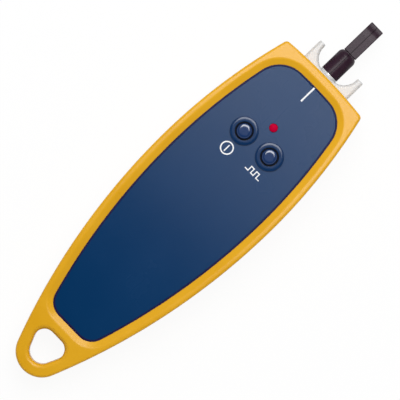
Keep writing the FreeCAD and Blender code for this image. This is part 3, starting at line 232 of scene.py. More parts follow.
def boardMaterial():
    # green solder resist with copper tracks showing through it as a paler green
    material, tree, shader, place = startMaterial("solderResist")
    tracks = tree.nodes.new("ShaderNodeTexBrick")
    tracks.inputs["Color1"].default_value = (0.012, 0.10, 0.035, 1)
    tracks.inputs["Color2"].default_value = (0.016, 0.12, 0.045, 1)
    tracks.inputs["Mortar"].default_value = (0.05, 0.27, 0.10, 1)
    for label, number in (("Scale", 160.0), ("Mortar Size", 0.05), ("Mortar Smooth", 0.1), ("Brick Width", 0.9),
                          ("Row Height", 0.31)):
        tracks.inputs[label].default_value = number
    tree.links.new(place, tracks.inputs["Vector"])
    skin = placeGroup(tree, mouldSkin, place, **{"Grain Scale": 1500.0})
    mask = makeRange(tree, skin.outputs["Patch"], 0.45, 0.55, 0.0, 1.0)
    tree.links.new(makeMix(tree, mask, (0.014, 0.11, 0.04), tracks.outputs["Color"]), shader.inputs["Base Color"])
    shader.inputs["Roughness"].default_value = 0.28
    addBump(tree, shader, tracks.outputs["Fac"], 0.3, 0.02)
    return material


cellJacket = {"rightStart": -0.0026, "leftStart": 0.0488, "band": (0.0345, 0.0348)}  # along Y, in metres


def cellMaterial():
    # printed foil jacket: dark barrel and a coppery band at the nub end; the two cells lie opposite ways
    material, tree, shader, place = startMaterial("cellJacket")
    right = makeMath(tree, "GREATER_THAN", objectAxis(tree, "X"), 0.0)
    alongRight = makeMath(tree, "MULTIPLY_ADD", objectAxis(tree, "Y"), -1.0, cellJacket["rightStart"])
    alongLeft = makeMath(tree, "ADD", objectAxis(tree, "Y"), cellJacket["leftStart"])
    along = makeMath(tree, "ADD", makeMath(tree, "MULTIPLY", right, alongRight),
                     makeMath(tree, "MULTIPLY", makeMath(tree, "SUBTRACT", 1.0, right), alongLeft))
    band = makeRange(tree, along, *cellJacket["band"], 0.0, 1.0)
    skin = placeGroup(tree, mouldSkin, place, **{"Grain Scale": 800.0})
    barrel = makeMix(tree, skin.outputs["Patch"], (0.016, 0.017, 0.02), (0.03, 0.031, 0.036))
    tree.links.new(makeMix(tree, band, barrel, (0.52, 0.25, 0.10)), shader.inputs["Base Color"])
    tree.links.new(makeRange(tree, skin.outputs["Patch"], 0.3, 0.7, 0.22, 0.34), shader.inputs["Roughness"])
    tree.links.new(makeMath(tree, "MULTIPLY", band, 0.8), shader.inputs["Metallic"])
    return material


def glassMaterial():
    material, tree, shader, place = startMaterial("lensGlass")
    skin = placeGroup(tree, mouldSkin, place, **{"Grain Scale": 1800.0})
    tree.links.new(makeRange(tree, skin.outputs["Patch"], 0.3, 0.7, 0.01, 0.05), shader.inputs["Roughness"])
    shader.inputs["Base Color"].default_value = (0.93, 0.98, 0.97, 1)
    shader.inputs["Transmission Weight"].default_value = 1.0
    shader.inputs["IOR"].default_value = 1.52
    return material


# heights in metres: fingers rub the gloss off above keyFace and collarTop, and a painted shade darkens a key below
# its gap-shade heights, standing in for the shadow in the gap round it
touch = {
    "keyFace": (0.02786, 0.027908), "keyGloss": 0.03, "keyGapShade": (0.0262, 0.0270),
    "collarTop": (0.02776, 0.027815), "collarGloss": 0.05,
}


def glossBelow(material, heights, least):
    # full gloss below the heights and the least of it above them
    tree = material.node_tree
    height = objectAxis(tree, "Z")
    gloss = makeRange(tree, height, *heights, 1.0, least)
    tree.links.new(gloss, shaderOf(material).inputs["Coat Weight"])
    return height, gloss


def keyMaterial():
    # dull face, glossy shoulder, and painted shade on the skirt below it where it sinks into the gap
    material = mouldedMaterial("keyPlastic", (0.005, 0.028, 0.108), (0.008, 0.033, 0.120), (0.26, 0.32), 3600.0,
                               0.006, 120.0, 0.3, (0.02, 0.05, 0.13), Specular_IOR_Level=0.05, Coat_Roughness=0.07,
                               Coat_IOR=1.9)
    tree, shader = material.node_tree, shaderOf(material)
    height, gloss = glossBelow(material, touch["keyFace"], touch["keyGloss"])
    # painted shade: below these heights the key turns near black, for the shadow down in the gap round it
    aboveGapShade = makeRange(tree, height, *touch["keyGapShade"], 0.0, 1.0)
    base = shader.inputs["Base Color"].links[0].from_socket
    tree.links.new(makeMix(tree, aboveGapShade, (0.002, 0.001, 0.004), base), shader.inputs["Base Color"])
    tree.links.new(makeMath(tree, "MULTIPLY", aboveGapShade, gloss), shader.inputs["Coat Weight"])
    return material


capSeam = {"half": (0.00005, 0.0003), "strength": 0.7, "gloss": (0.44, 0.2)}  # half width in metres


def capMaterial():
    # soft dark rubber with the mould's parting line down the middle
    material = mouldedMaterial("capRubber", (0.019, 0.0055, 0.0145), (0.027, 0.0095, 0.021), (0.40, 0.50), 1500.0,
                               0.03, 110.0, 0.35, (0.05, 0.035, 0.045), Specular_IOR_Level=0.02,
                               Coat_Roughness=0.36)
    tree, shader = material.node_tree, shaderOf(material)
    across = makeMath(tree, "ABSOLUTE", objectAxis(tree, "X"))
    line = makeRange(tree, across, *capSeam["half"], capSeam["strength"], 0.0)
    base = shader.inputs["Base Color"].links[0].from_socket
    tree.links.new(makeMix(tree, line, base, (0.004, 0.002, 0.003)), shader.inputs["Base Color"])
    tree.links.new(makeRange(tree, line, 0.0, capSeam["strength"], *capSeam["gloss"]), shader.inputs["Coat Weight"])
    return material


finishes = {
    "boot_rubber": mouldedMaterial("bootRubber", (0.728, 0.366, 0.009), (0.768, 0.398, 0.013), (0.27, 0.33), 1900.0,
                                   0.04, 45.0, 0.2, (0.80, 0.44, 0.03), Specular_IOR_Level=0.3),
    "blue_plastic": mouldedMaterial("bluePlastic", (0.0008, 0.0315, 0.108), (0.0012, 0.034, 0.115), (0.24, 0.28),
                                    3200.0, 0.015, 30.0, 0.12, (0.01, 0.04, 0.12), Specular_IOR_Level=0.14),
    "grey_plastic": mouldedMaterial("greyPlastic", (0.25, 0.26, 0.27), (0.29, 0.30, 0.31), (0.42, 0.55), 1700.0, 0.05,
                                    70.0, 0.2),
    "cell_jacket": cellMaterial(),
    "spring_steel": metalMaterial("springSteel", (0.62, 0.62, 0.61), (0.72, 0.72, 0.70), (0.18, 0.34)),
    "board_laminate": boardMaterial(),
    "switch_plastic": mouldedMaterial("switchPlastic", (0.012, 0.012, 0.013), (0.02, 0.02, 0.021), (0.4, 0.55),
                                      2600.0),
    "plunger_plastic": mouldedMaterial("plungerPlastic", (0.62, 0.58, 0.48), (0.70, 0.66, 0.56), (0.4, 0.5),
                                       2600.0),
    "key_plastic": keyMaterial(),
    "red_epoxy": mouldedMaterial("redEpoxy", (0.43, 0.0, 0.022), (0.49, 0.0, 0.029), (0.42, 0.52), 1500.0, 0.004,
                                 60.0, 0.1, (0.40, 0.0, 0.02), Specular_IOR_Level=0.02),
    "chip_plastic": mouldedMaterial("chipPlastic", (0.014, 0.014, 0.015), (0.024, 0.024, 0.025), (0.5, 0.62),
                                    3000.0),
    "turned_brass": metalMaterial("turnedBrass", (0.60, 0.40, 0.15), (0.70, 0.50, 0.20), (0.16, 0.32)),
    "gold_can": metalMaterial("goldCan", (0.80, 0.58, 0.24), (0.88, 0.66, 0.30), (0.10, 0.20)),
    "lens_glass": glassMaterial(),
    "nickel_metal": metalMaterial("nickelMetal", (0.56, 0.55, 0.52), (0.68, 0.67, 0.63), (0.16, 0.32)),
    "ceramic": mouldedMaterial("whiteCeramic", (0.80, 0.79, 0.75), (0.86, 0.85, 0.81), (0.12, 0.2), 2000.0, 0.005),
    "white_plastic": mouldedMaterial("whitePlastic", (0.58, 0.58, 0.58), (0.63, 0.63, 0.63), (0.26, 0.34), 2300.0,
                                     0.005, 90.0, 0.05, (0.53, 0.53, 0.53)),
    "cap_rubber": capMaterial(),
    "screw_steel": metalMaterial("screwSteel", (0.46, 0.46, 0.47), (0.58, 0.58, 0.58), (0.22, 0.38)),
}
for row in frame["record"]["subparts"]:
    nodes[row["node"]].data.materials.clear()
    nodes[row["node"]].data.materials.append(finishes[row["material_slot"]])
collarPlastic = mouldedMaterial("collarPlastic", (0.0016, 0.024, 0.088), (0.0024, 0.027, 0.096), (0.22, 0.28),
                                3400.0, 0.008, 90.0, 0.2, (0.01, 0.04, 0.12), Specular_IOR_Level=0.05,
                                Coat_Roughness=0.16)
glossBelow(collarPlastic, touch["collarTop"], touch["collarGloss"])
printInk = mouldedMaterial("printInk", (0.80, 0.81, 0.83), (0.87, 0.88, 0.89), (0.5, 0.6), 4000.0, 0.008, 300.0, 0.2,
                           (0.6, 0.62, 0.66))
# painted shade: a near-black blue for the strip that stands in for the shadow along the panel's edge
rimShadeFinish = mouldedMaterial("rimShadeFinish", (0.010, 0.007, 0.050), (0.014, 0.010, 0.060), (0.4, 0.5), 4000.0, 0.008,
                          300.0, 0.2, (0.02, 0.015, 0.07), Specular_IOR_Level=0.1)
print("materials made:", len(finishes) + 3)


# Mesh tools

weldReach = 0.0005


def smoothOver(piece, sharpOver=38.0):
    mesh = piece.data
    mesh.polygons.foreach_set("use_smooth", [True] * len(mesh.polygons))
    mesh.set_sharp_from_angle(angle=math.radians(sharpOver))
    even = piece.modifiers.new("evenShading", "WEIGHTED_NORMAL")
    even.keep_sharp = True


def makeObject(name, bm):
    # an object in metres from a bmesh in millimetres
    bmesh.ops.recalc_face_normals(bm, faces=bm.faces)
    mesh = bpy.data.meshes.new(name)
    bm.to_mesh(mesh)
    bm.free()
    mesh.transform(Matrix.Scale(mm, 4))
    piece = bpy.data.objects.new(name, mesh)
    bpy.context.scene.collection.objects.link(piece)
    return piece


def finishPiece(name, bm, body, slotName, material=None):
    bmesh.ops.remove_doubles(bm, verts=bm.verts, dist=weldReach)
    piece = makeObject(name, bm)
    piece.data.materials.append(material or finishes[slotName])
    smoothOver(piece)
    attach(piece, body)
    return piece


def wireEdges(bm, chain):
    return [bm.edges.get((a, b)) or bm.edges.new((a, b)) for a, b in zip(chain, chain[1:])]


def sweepEnd(bm, chain, centre, towards, steps):
    # carries the chain's last point anticlockwise round a centre until it faces the angle
    tip = chain[-1]
    start = math.atan2(tip.co.y - centre[1], tip.co.x - centre[0])
    before = set(bm.verts)
    bmesh.ops.spin(bm, geom=[tip], cent=(centre[0], centre[1], tip.co.z), axis=(0, 0, 1), angle=towards - start,
                   steps=steps, use_duplicate=False, space=Matrix())
    fresh = [v for v in bm.verts if v not in before]
    fresh.sort(key=lambda v: math.atan2(v.co.y - centre[1], v.co.x - centre[0]))
    chain.extend(fresh)


def addPoint(bm, chain, x, y):
    chain.append(bm.verts.new((x, y, chain[-1].co.z)))
    bm.edges.new(chain[-2:])


def circlesMeet(first, firstR, second, secondR):
    # the meeting point of two circles that lies furthest right
    a, b = Vector(first), Vector(second)
    line = b - a
    along = (firstR ** 2 - secondR ** 2 + line.length_squared) / (2 * line.length)
    off = math.sqrt(firstR ** 2 - along ** 2)
    unit = line.normalized()
    side = Vector((-unit.y, unit.x))
    return max((a + unit * along + side * off, a + unit * along - side * off), key=lambda p: p.x)


def facing(origin, point):
    return math.atan2(point[1] - origin[1], point[0] - origin[0])


plan = {
    "halfWidth": 27.0, "widestY": 8.8, "headY": 65.25, "headR": 203.0, "sideR": 223.0, "tailTipY": -92.25,
    "tailR": 9.85, "crownR": 600.0, "crownY": 25.0, "heelY": -70.0, "heelR": 38.0, "height": 28.0,
}
tailRun = plan["widestY"] - plan["tailTipY"]
plan["tailSideR"] = ((plan["halfWidth"] ** 2 + tailRun ** 2 - 2 * tailRun * plan["tailR"])
                     / (2 * (plan["halfWidth"] - plan["tailR"])))


def crownDrop(y, depth=0.0):
    # how far the face lies below its top at y, for a surface that deep under it
    reach = plan["crownR"] - depth
    return plan["crownR"] - math.sqrt(reach ** 2 - (y - plan["crownY"]) ** 2)


def panelZ(y):
    return plan["height"] - crownDrop(y, boot["recess"])


def heelRise(y):
    return plan["heelR"] - math.sqrt(plan["heelR"] ** 2 - max(0.0, plan["heelY"] - y) ** 2)


def halfOutline(bm, z, inset, headInset, headCorner, tailCorner=None, tailY=None):
    # the right half of a plan outline, from its tail on the middle line round to its head
    sideCentre = (plan["halfWidth"] - plan["sideR"], plan["widestY"])
    tailCentre = (plan["halfWidth"] - plan["tailSideR"], plan["widestY"])
    headCentre = (0.0, plan["headY"] - plan["headR"])
    tailSideR = plan["tailSideR"] - inset
    if tailY is None:
        end = (0.0, plan["tailTipY"] + plan["tailR"])
        chain = [bm.verts.new((0.0, plan["tailTipY"] + inset, z))]
        sweepEnd(bm, chain, end, facing(tailCentre, end), 16)
    else:
        cornerY = tailY + tailCorner
        cornerX = tailCentre[0] + math.sqrt((tailSideR - tailCorner) ** 2 - (cornerY - tailCentre[1]) ** 2)
        chain = [bm.verts.new((0.0, tailY, z))]
        addPoint(bm, chain, cornerX, tailY)
        sweepEnd(bm, chain, (cornerX, cornerY), facing(tailCentre, (cornerX, cornerY)), 10)
    sweepEnd(bm, chain, tailCentre, 0.0, 28)
    corner = circlesMeet(sideCentre, plan["sideR"] - inset - headCorner, headCentre,
                         plan["headR"] - headInset - headCorner)
    sweepEnd(bm, chain, sideCentre, facing(sideCentre, corner), 16)
    sweepEnd(bm, chain, corner, facing(headCentre, corner), 10)
    sweepEnd(bm, chain, headCentre, math.pi / 2, 10)
    for end in (chain[0], chain[-1]):
        end.co.x = 0.0
    return chain


def dropChain(bm, chain, z):
    made = bmesh.ops.extrude_edge_only(bm, edges=wireEdges(bm, chain))["geom"]
    fresh = {(round(v.co.x, 4), round(v.co.y, 4)): v for v in made if isinstance(v, bmesh.types.BMVert)}
    lower = [fresh[round(v.co.x, 4), round(v.co.y, 4)] for v in chain]
    for v in lower:
        v.co.z = z
    return lower


def fillBetween(bm, outer, *inners):
    # one face between an outer chain and the chains inside it, cut along the middle line
    # the inner chains come in order from head to tail
    edges = wireEdges(bm, outer)
    at = outer[-1]
    for chain in inners:
        edges += wireEdges(bm, [at, chain[-1]]) + wireEdges(bm, chain)
        at = chain[0]
    edges += wireEdges(bm, [at, outer[0]])
    bmesh.ops.edgeloop_fill(bm, edges=edges)


def isUpright(edge):
    return abs(edge.verts[0].co.z - edge.verts[1].co.z) > 1


def isLevel(edge):
    return abs(edge.verts[0].co.z - edge.verts[1].co.z) < 0.01


def raiseFaces(bm, geom, high):
    bmesh.ops.translate(bm, vec=(0, 0, high), verts=[v for v in geom if isinstance(v, bmesh.types.BMVert)])


def mirrorHalf(bm):
    bmesh.ops.mirror(bm, geom=bm.verts[:] + bm.edges[:] + bm.faces[:], matrix=Matrix(), merge_dist=0.001, axis="X")
    bmesh.ops.remove_doubles(bm, verts=bm.verts, dist=0.001)
    bmesh.ops.recalc_face_normals(bm, faces=bm.faces)


def sliceRows(bm, start, pitch, count):
    # cuts rows across a mesh, so that it can bend along Y
    for i in range(count):
        bmesh.ops.bisect_plane(bm, geom=bm.verts[:] + bm.edges[:] + bm.faces[:], dist=weldReach,
                               plane_co=(0, start + pitch * i, 0), plane_no=(0, 1, 0))


def roundOff(bm, edges, radius, segments):
    bmesh.ops.bevel(bm, geom=list(edges), offset=radius, offset_type="OFFSET", segments=segments, profile=0.5,
                    affect="EDGES", clamp_overlap=True, material=-1)


def carve(piece, steps):
    # joins tools to the piece or takes them out of it, for good; steps are (tool, operation)
    for even in [m for m in piece.modifiers if m.type == "WEIGHTED_NORMAL"]:
        piece.modifiers.remove(even)
    for tool, operation in steps:
        change = piece.modifiers.new("carve", "BOOLEAN")
        change.operation = operation
        change.solver = "EXACT"
        change.object = tool
    bpy.context.view_layer.update()
    done = bpy.data.meshes.new_from_object(piece.evaluated_get(bpy.context.evaluated_depsgraph_get()))
    piece.modifiers.clear()
    piece.data = done
    smoothOver(piece)
    for tool, _ in steps:
        bpy.data.objects.remove(tool)


def blockBetween(bm, low, high):
    size = [b - a for a, b in zip(low, high)]
    middle = [(a + b) / 2 for a, b in zip(low, high)]
    bmesh.ops.create_cube(bm, size=1.0, matrix=Matrix.Translation(middle) @ Matrix.Diagonal((*size, 1.0)))


def makeRod(r, startY, endY, z, sides=56):
    # a closed round bar along Y
    bm = bmesh.new()
    bmesh.ops.create_cone(bm, cap_ends=True, segments=sides, radius1=r, radius2=r, depth=endY - startY,
                          matrix=Matrix.Translation((0, (startY + endY) / 2, z))
                          @ Matrix.Rotation(math.pi / 2, 4, "X"))
    return bm


def turnProfile(bm, points, steps, matrix):
    # spins (radius, height) points round Z, then puts the shape in place
    verts = [bm.verts.new((x, 0.0, z)) for x, z in points]
    edges = [bm.edges.new(pair) for pair in zip(verts, verts[1:])]
    before = set(bm.verts) - set(verts)
    bmesh.ops.spin(bm, geom=verts + edges, cent=(0, 0, 0), axis=(0, 0, 1), angle=2 * math.pi, steps=steps,
                   use_merge=True, use_duplicate=False, space=Matrix())
    fresh = [v for v in bm.verts if v not in before]
    bmesh.ops.transform(bm, matrix=matrix, verts=fresh)
    bmesh.ops.remove_doubles(bm, verts=bm.verts, dist=0.0008)
    bmesh.ops.recalc_face_normals(bm, faces=bm.faces)


# Boot

boot = {
    "cornerR": 1.7, "rimWidth": 4.65, "rimHead": 5.7, "slopeWidth": 2.5, "slopeDrop": 1.2, "panelTailY": -68.25,
    "panelHeadR": 11.6, "panelTailR": 6.7, "lip": 2.5, "wall": 2.2, "cavityTailY": -70.7, "cavityHeadR": 3.0,
    "cavityTailR": 8.0, "loopY": -82.1, "loopR": 4.93, "loopHeadY": -74.5, "loopHalfWidth": 6.55, "loopCornerR": 4.1,
    "faceRound": 1.0, "backRound": 3.4, "loopRound": 1.8, "crestRound": 0.55, "recess": 1.0,
    "doorCorners": ((15.1, -58.1), (16.7, -50.0), (16.7, 11.1)), "noseHalf": (11.65, 6.7), "noseReach": (9, 3),
    "noseRound": 1.0, "portZ": 13.0, "tailRows": (-91.5, 1.5, 16), "sideRows": (-66.0, 5.0, 27),
}


def loopChain(bm, z):
    # half of the hang loop's hole: a round tail end, straight sides and softly cornered head end
    cornerX, cornerY = boot["loopHalfWidth"] - boot["loopCornerR"], boot["loopHeadY"] - boot["loopCornerR"]
    reach = math.hypot(cornerX, cornerY - boot["loopY"])
    lean = math.atan2(cornerY - boot["loopY"], cornerX) - math.acos((boot["loopR"] - boot["loopCornerR"]) / reach)
    chain = [bm.verts.new((0.0, boot["loopY"] - boot["loopR"], z))]
    sweepEnd(bm, chain, (0.0, boot["loopY"]), lean, 12)
    addPoint(bm, chain, cornerX + boot["loopCornerR"] * math.cos(lean),
             cornerY + boot["loopCornerR"] * math.sin(lean))
    sweepEnd(bm, chain, (cornerX, cornerY), math.pi / 2, 10)
    addPoint(bm, chain, 0.0, boot["loopHeadY"])
    return chain


def makeBoot():
    bm = bmesh.new()
    top, b = plan["height"], boot
    slope = b["slopeWidth"]
    outer = halfOutline(bm, top, 0.0, 0.0, b["cornerR"])
    crest = halfOutline(bm, top, b["rimWidth"] - slope, b["rimHead"] - slope, b["panelHeadR"] + slope,
                        b["panelTailR"] + slope, b["panelTailY"] - slope)
    foot = halfOutline(bm, top - b["slopeDrop"], b["rimWidth"], b["rimHead"], b["panelHeadR"], b["panelTailR"],
                       b["panelTailY"])
    hole = loopChain(bm, top)
    fillBetween(bm, outer, crest, hole)
    bmesh.ops.bridge_loops(bm, edges=wireEdges(bm, crest) + wireEdges(bm, foot))
    lipEdge = dropChain(bm, foot, top - b["lip"])
    cavity = halfOutline(bm, top - b["lip"], b["wall"], b["wall"], b["cavityHeadR"], b["cavityTailR"],
                         b["cavityTailY"])
    fillBetween(bm, cavity, lipEdge)
    floor = dropChain(bm, cavity, b["wall"])
    door = [bm.verts.new((0.0, b["doorCorners"][0][1], b["wall"]))]
    for x, y in b["doorCorners"]:
        addPoint(bm, door, x, y)
    addPoint(bm, door, 0.0, b["doorCorners"][-1][1])
    fillBetween(bm, floor, door)
    doorBack = dropChain(bm, door, 0.0)
    back = dropChain(bm, outer, 0.0)
    holeBack = dropChain(bm, hole, 0.0)
    fillBetween(bm, back, doorBack, holeBack)
    mark = bm.edges.layers.int.new("mark")  # remembers which outline an edge belongs to
    for code, chain in enumerate((outer, back, hole, holeBack, crest), start=1):
        for edge in wireEdges(bm, chain):
            edge[mark] = code
    mirrorHalf(bm)
    for codes, radius, segments in (((2,), b["backRound"], 8), ((1,), b["faceRound"], 4),
                                    ((3, 4), b["loopRound"], 5), ((5,), b["crestRound"], 3)):
        roundOff(bm, [e for e in bm.edges if e[mark] in codes and len(e.link_faces) == 2], radius, segments)
    sliceRows(bm, *b["tailRows"])
    sliceRows(bm, *b["sideRows"])
    for v in bm.verts:  # the face takes the crown, and the back rises at the heel
        if v.co.z > top / 2:
            v.co.z -= crownDrop(v.co.y)
        else:
            v.co.z += heelRise(v.co.y) * (1 - v.co.z / (top / 2)) ** 0.5
    piece = finishPiece("bootSkin", bm, "case", "boot_rubber")
    nose = bmesh.new()
    wide, high = b["noseHalf"]
    back, front = b["noseReach"]
    blockBetween(nose, (-wide, plan["headY"] - back, b["portZ"] - high),
                 (wide, plan["headY"] + front, b["portZ"] + high))
    roundOff(nose, [e for e in nose.edges if abs(e.verts[0].co.y - e.verts[1].co.y) > 1], b["noseRound"], 4)
    carve(piece, [(makeObject("noseTool", nose), "DIFFERENCE")])
    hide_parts("boot")


makeBoot()
print("boot made")


# Keys, collars and lamp

keys = {
    "collar": ((3.56, -1.0), (3.56, 0.78), (3.59, 0.82), (3.65, 0.835), (4.0, 0.833), (4.40, 0.825), (4.58, 0.81),
               (4.78, 0.775), (4.98, 0.73), (5.16, 0.685), (5.30, 0.63), (5.39, 0.56), (5.45, 0.46), (5.48, 0.3),
               (5.48, -0.5), (5.2, -1.0)),
    "cap": ((0.0, -0.018), (1.2, -0.019), (1.5, -0.0225), (1.7, -0.034), (1.85, -0.051), (2.0, -0.076),
            (2.15, -0.109), (2.3, -0.15), (2.42, -0.192), (2.53, -0.241), (2.63, -0.3), (2.72, -0.37), (2.8, -0.46),
            (2.88, -0.6), (2.96, -0.8), (3.02, -1.06), (3.05, -1.4), (3.05, -2.2)),
    "flange": 1.2, "flangeHigh": 0.9, "steps": 72,
}


def makeKey(node, body, name):
    low, high = (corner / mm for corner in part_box(node))
    x, y = (low.x + high.x) / 2, (low.y + high.y) / 2
    r = keys["cap"][-1][0]
    points = [(px, high.z + pz) for px, pz in keys["cap"]]
    points += [(r, low.z + keys["flangeHigh"]), (r + keys["flange"], low.z + keys["flangeHigh"]),
               (r + keys["flange"], low.z), (0.0, low.z)]
    bm = bmesh.new()
    turnProfile(bm, points, keys["steps"], Matrix.Translation((x, y, 0)))
    piece = finishPiece(name + "Key", bm, body, "key_plastic")
    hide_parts(node)
    ring = bmesh.new()
    collar = [(px, panelZ(y) + pz) for px, pz in keys["collar"]]
    turnProfile(ring, collar + collar[:1], keys["steps"], Matrix.Translation((x, y, 0)))
    finishPiece(name + "Collar", ring, "case", "blue_plastic", collarPlastic)


makeKey("power_button", "power_key", "power")
makeKey("flash_button", "flash_key", "flash")

lamp = {
    "r": 1.55, "rim": 0.45, "rimHigh": 1.0, "dome": 0.45, "domeSteps": 7, "length": 5.3, "leadHalf": 0.22,
    "leadPitch": 2.54, "leadSink": 0.3, "steps": 48,
}


def makeLamp():
    low, high = (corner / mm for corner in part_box("indicator_lamp"))
    y = (low.y + high.y) / 2
    foot = high.z - lamp["length"]
    domeR = (lamp["r"] ** 2 + lamp["dome"] ** 2) / (2 * lamp["dome"])
    turns = [math.asin(lamp["r"] / domeR) * i / lamp["domeSteps"] for i in range(lamp["domeSteps"] + 1)]
    points = [(domeR * math.sin(turn), high.z - domeR + domeR * math.cos(turn)) for turn in turns]
    points += [(lamp["r"], foot + lamp["rimHigh"]), (lamp["r"] + lamp["rim"], foot + lamp["rimHigh"]),
               (lamp["r"] + lamp["rim"], foot), (0.0, foot)]
    bm = bmesh.new()
    turnProfile(bm, points, lamp["steps"], Matrix.Translation((0, y, 0)))
    for side in (-1, 1):
        x, half = side * lamp["leadPitch"] / 2, lamp["leadHalf"]
        blockBetween(bm, (x - half, y - half, low.z), (x + half, y + half, foot + lamp["leadSink"]))
    piece = finishPiece("lampBulb", bm, "case", "red_epoxy")
    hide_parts("indicator_lamp")


makeLamp()
print("keys and lamp made")


# Nose guard

guard = {
    "halfWidth": 11.45, "hornWidth": 2.75, "saddleY": 66.1, "saddleRound": 6.6, "tipRound": 0.4, "edgeRound": 1.1,
    "flange": 1.6, "wayR": 2.85, "wayReach": (3, 11), "bossR": 3.8, "bossY": 67.0, "bossSink": 0.5, "portZ": 13.0,
    "halfHigh": 6.5, "sharpOver": 0.5,
}


def makeGuard():
    low, high = (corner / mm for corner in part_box("nose_guard"))
    g = guard
    inner = g["halfWidth"] - g["hornWidth"]
    bottom = g["portZ"] - g["halfHigh"]
    bm = bmesh.new()
    chain = [bm.verts.new((0.0, low.y, bottom))]
    for x, y in ((g["halfWidth"], low.y), (g["halfWidth"], high.y), (inner, high.y), (inner, g["saddleY"]),
                 (0.0, g["saddleY"])):
        addPoint(bm, chain, x, y)
    bmesh.ops.edgeloop_fill(bm, edges=wireEdges(bm, chain + chain[:1]))
    mirrorHalf(bm)
    made = bmesh.ops.extrude_face_region(bm, geom=bm.faces[:])["geom"]
    raiseFaces(bm, made, 2 * g["halfHigh"])
    bmesh.ops.recalc_face_normals(bm, faces=bm.faces)
    corners = [e for e in bm.edges if isUpright(e) and abs(abs(e.verts[0].co.x) - inner) < 0.01
               and abs(e.verts[0].co.y - g["saddleY"]) < 0.01]
    roundOff(bm, corners, g["saddleRound"], 14)
    # the long edges first, then the outlines of the tips
    rim = [e for e in bm.edges if isLevel(e) and e.calc_face_angle(0.0) > g["sharpOver"]
           and max(v.co.y for v in e.verts) > low.y + 0.01 and min(v.co.y for v in e.verts) < high.y - 0.01]
    roundOff(bm, rim, g["edgeRound"], 6)
    tips = [e for e in bm.edges if min(v.co.y for v in e.verts) > high.y - 0.01
            and e.calc_face_angle(0.0) > g["sharpOver"]]
    roundOff(bm, tips, g["tipRound"], 3)
    step = g["flange"]
    wide, tall = g["halfWidth"] + step, g["halfHigh"] + step
    piece = finishPiece("noseGuard", bm, "case", "white_plastic")
    plate = bmesh.new()
    blockBetween(plate, (-wide, low.y, g["portZ"] - tall), (wide, low.y + step, g["portZ"] + tall))
    back, front = g["wayReach"]
    way = makeRod(g["wayR"], low.y - back, low.y + front, g["portZ"])
    boss = makeRod(g["bossR"], low.y + g["bossSink"], g["bossY"], g["portZ"])
    carve(piece, [(makeObject("flangePlate", plate), "UNION"), (makeObject("portBoss", boss), "UNION"),
                  (makeObject("portWay", way), "DIFFERENCE")])
    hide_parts("nose_guard")


makeGuard()
print("nose guard made")


# Dust cap

cap = {
    "r": 3.85, "boreR": 2.85, "boreEndY": 76.4, "shoulderY": 76.5, "neckY": 77.5, "neckR": 3.05, "grooveR": 2.75,
    "tabHalf": 2.98, "tabThick": 1.35, "dipY": 88.8, "dip": 0.1, "flare": 0.3, "portZ": 13.0, "mouthRound": 0.15,
    "shoulderRound": 0.7, "cornerRound": 0.35, "edgeRound": 0.3, "slit": 0.32, "coreHalf": 2.7, "coreThick": 0.7,
    "coreReach": (0.5, 1.0), "boreBevel": 0.4, "grooveDeep": 0.25, "dipRun": 2.4, "dipRows": (0.35, 16),
    "steps": 64, "sharpOver": 0.5,
}


def easeOver(start, run, y):
    # climbs smoothly from 0 to 1 over a run along Y
    share = min(1.0, max(0.0, (y - start) / run))
    return share ** 2 * (3 - 2 * share)


def makeCap():
    low, high = (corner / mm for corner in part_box("dust_cap"))
    c = cap
    bm = bmesh.new()
    bevel, groove = c["boreBevel"], c["neckY"] - c["grooveDeep"]
    profile = ((0.0, c["boreEndY"]), (c["boreR"] - bevel, c["boreEndY"]), (c["boreR"], c["boreEndY"] - bevel),
               (c["boreR"], low.y), (c["r"], low.y), (c["r"], c["shoulderY"]), (c["neckR"], c["neckY"]),
               (c["grooveR"], groove), (0.0, groove))
    along = Matrix.Translation((0, 0, c["portZ"])) @ Matrix.Rotation(-math.pi / 2, 4, "X")
    turnProfile(bm, profile, c["steps"], along)

    def ringAt(y, r):
        return [e for e in bm.edges if all(abs(v.co.y - y) < 0.01 and
                                           abs(math.hypot(v.co.x, v.co.z - c["portZ"]) - r) < 0.02 for v in e.verts)]
    roundOff(bm, ringAt(c["shoulderY"], c["r"]), c["shoulderRound"], 6)
    roundOff(bm, ringAt(low.y, c["r"]), c["mouthRound"], 3)
    sink, reach = c["coreReach"]
    blockBetween(bm, (-c["coreHalf"], c["neckY"] - sink, c["portZ"] - c["coreThick"]),
                 (c["coreHalf"], c["neckY"] + reach, c["portZ"] + c["coreThick"]))
    tab = bmesh.new()
    half, deep = c["tabHalf"], c["tabThick"]
    blockBetween(tab, (-half, c["neckY"] + c["slit"], c["portZ"] - deep), (half, high.y, c["portZ"] + deep))
    roundOff(tab, [e for e in tab.edges if isUpright(e) and e.verts[0].co.y > high.y - 0.01], c["cornerRound"], 4)
    roundOff(tab, [e for e in tab.edges if isLevel(e) and e.calc_face_angle(0.0) > c["sharpOver"]], c["edgeRound"],
             3)
    sliceRows(tab, c["dipY"] - c["dipRun"], *c["dipRows"])
    for v in tab.verts:
        # a shallow dip, then a flare out to the end
        grow = (c["flare"] * easeOver(c["dipY"], c["dipRun"], v.co.y)
                - c["dip"] * easeOver(c["dipY"] - c["dipRun"], c["dipRun"], v.co.y))
        v.co.z += (v.co.z - c["portZ"]) / deep * grow
    mesh = bpy.data.meshes.new("capTab")
    tab.to_mesh(mesh)
    tab.free()
    bm.from_mesh(mesh)
    piece = finishPiece("dustCap", bm, "cap", "cap_rubber")
    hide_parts("dust_cap")


makeCap()
print("dust cap made")


# Printed marks on the panel, and a painted shade strip round its edge

marks = {
    "thick": 0.04, "rows": (17.0, 0.6, 74),
    "ring": {"x": -6.75, "y": 20.25, "r": 2.62, "stroke": 0.5, "bar": (18.7, 21.7), "barHalf": 0.225, "steps": 72},
    "aim": {"x": -0.1, "y": (52.2, 59.2), "wide": 0.64},
    "pulse": {"x": (3.3, 10.2), "y": (20.1, 22.1), "stroke": 0.42, "steps": 2},
}


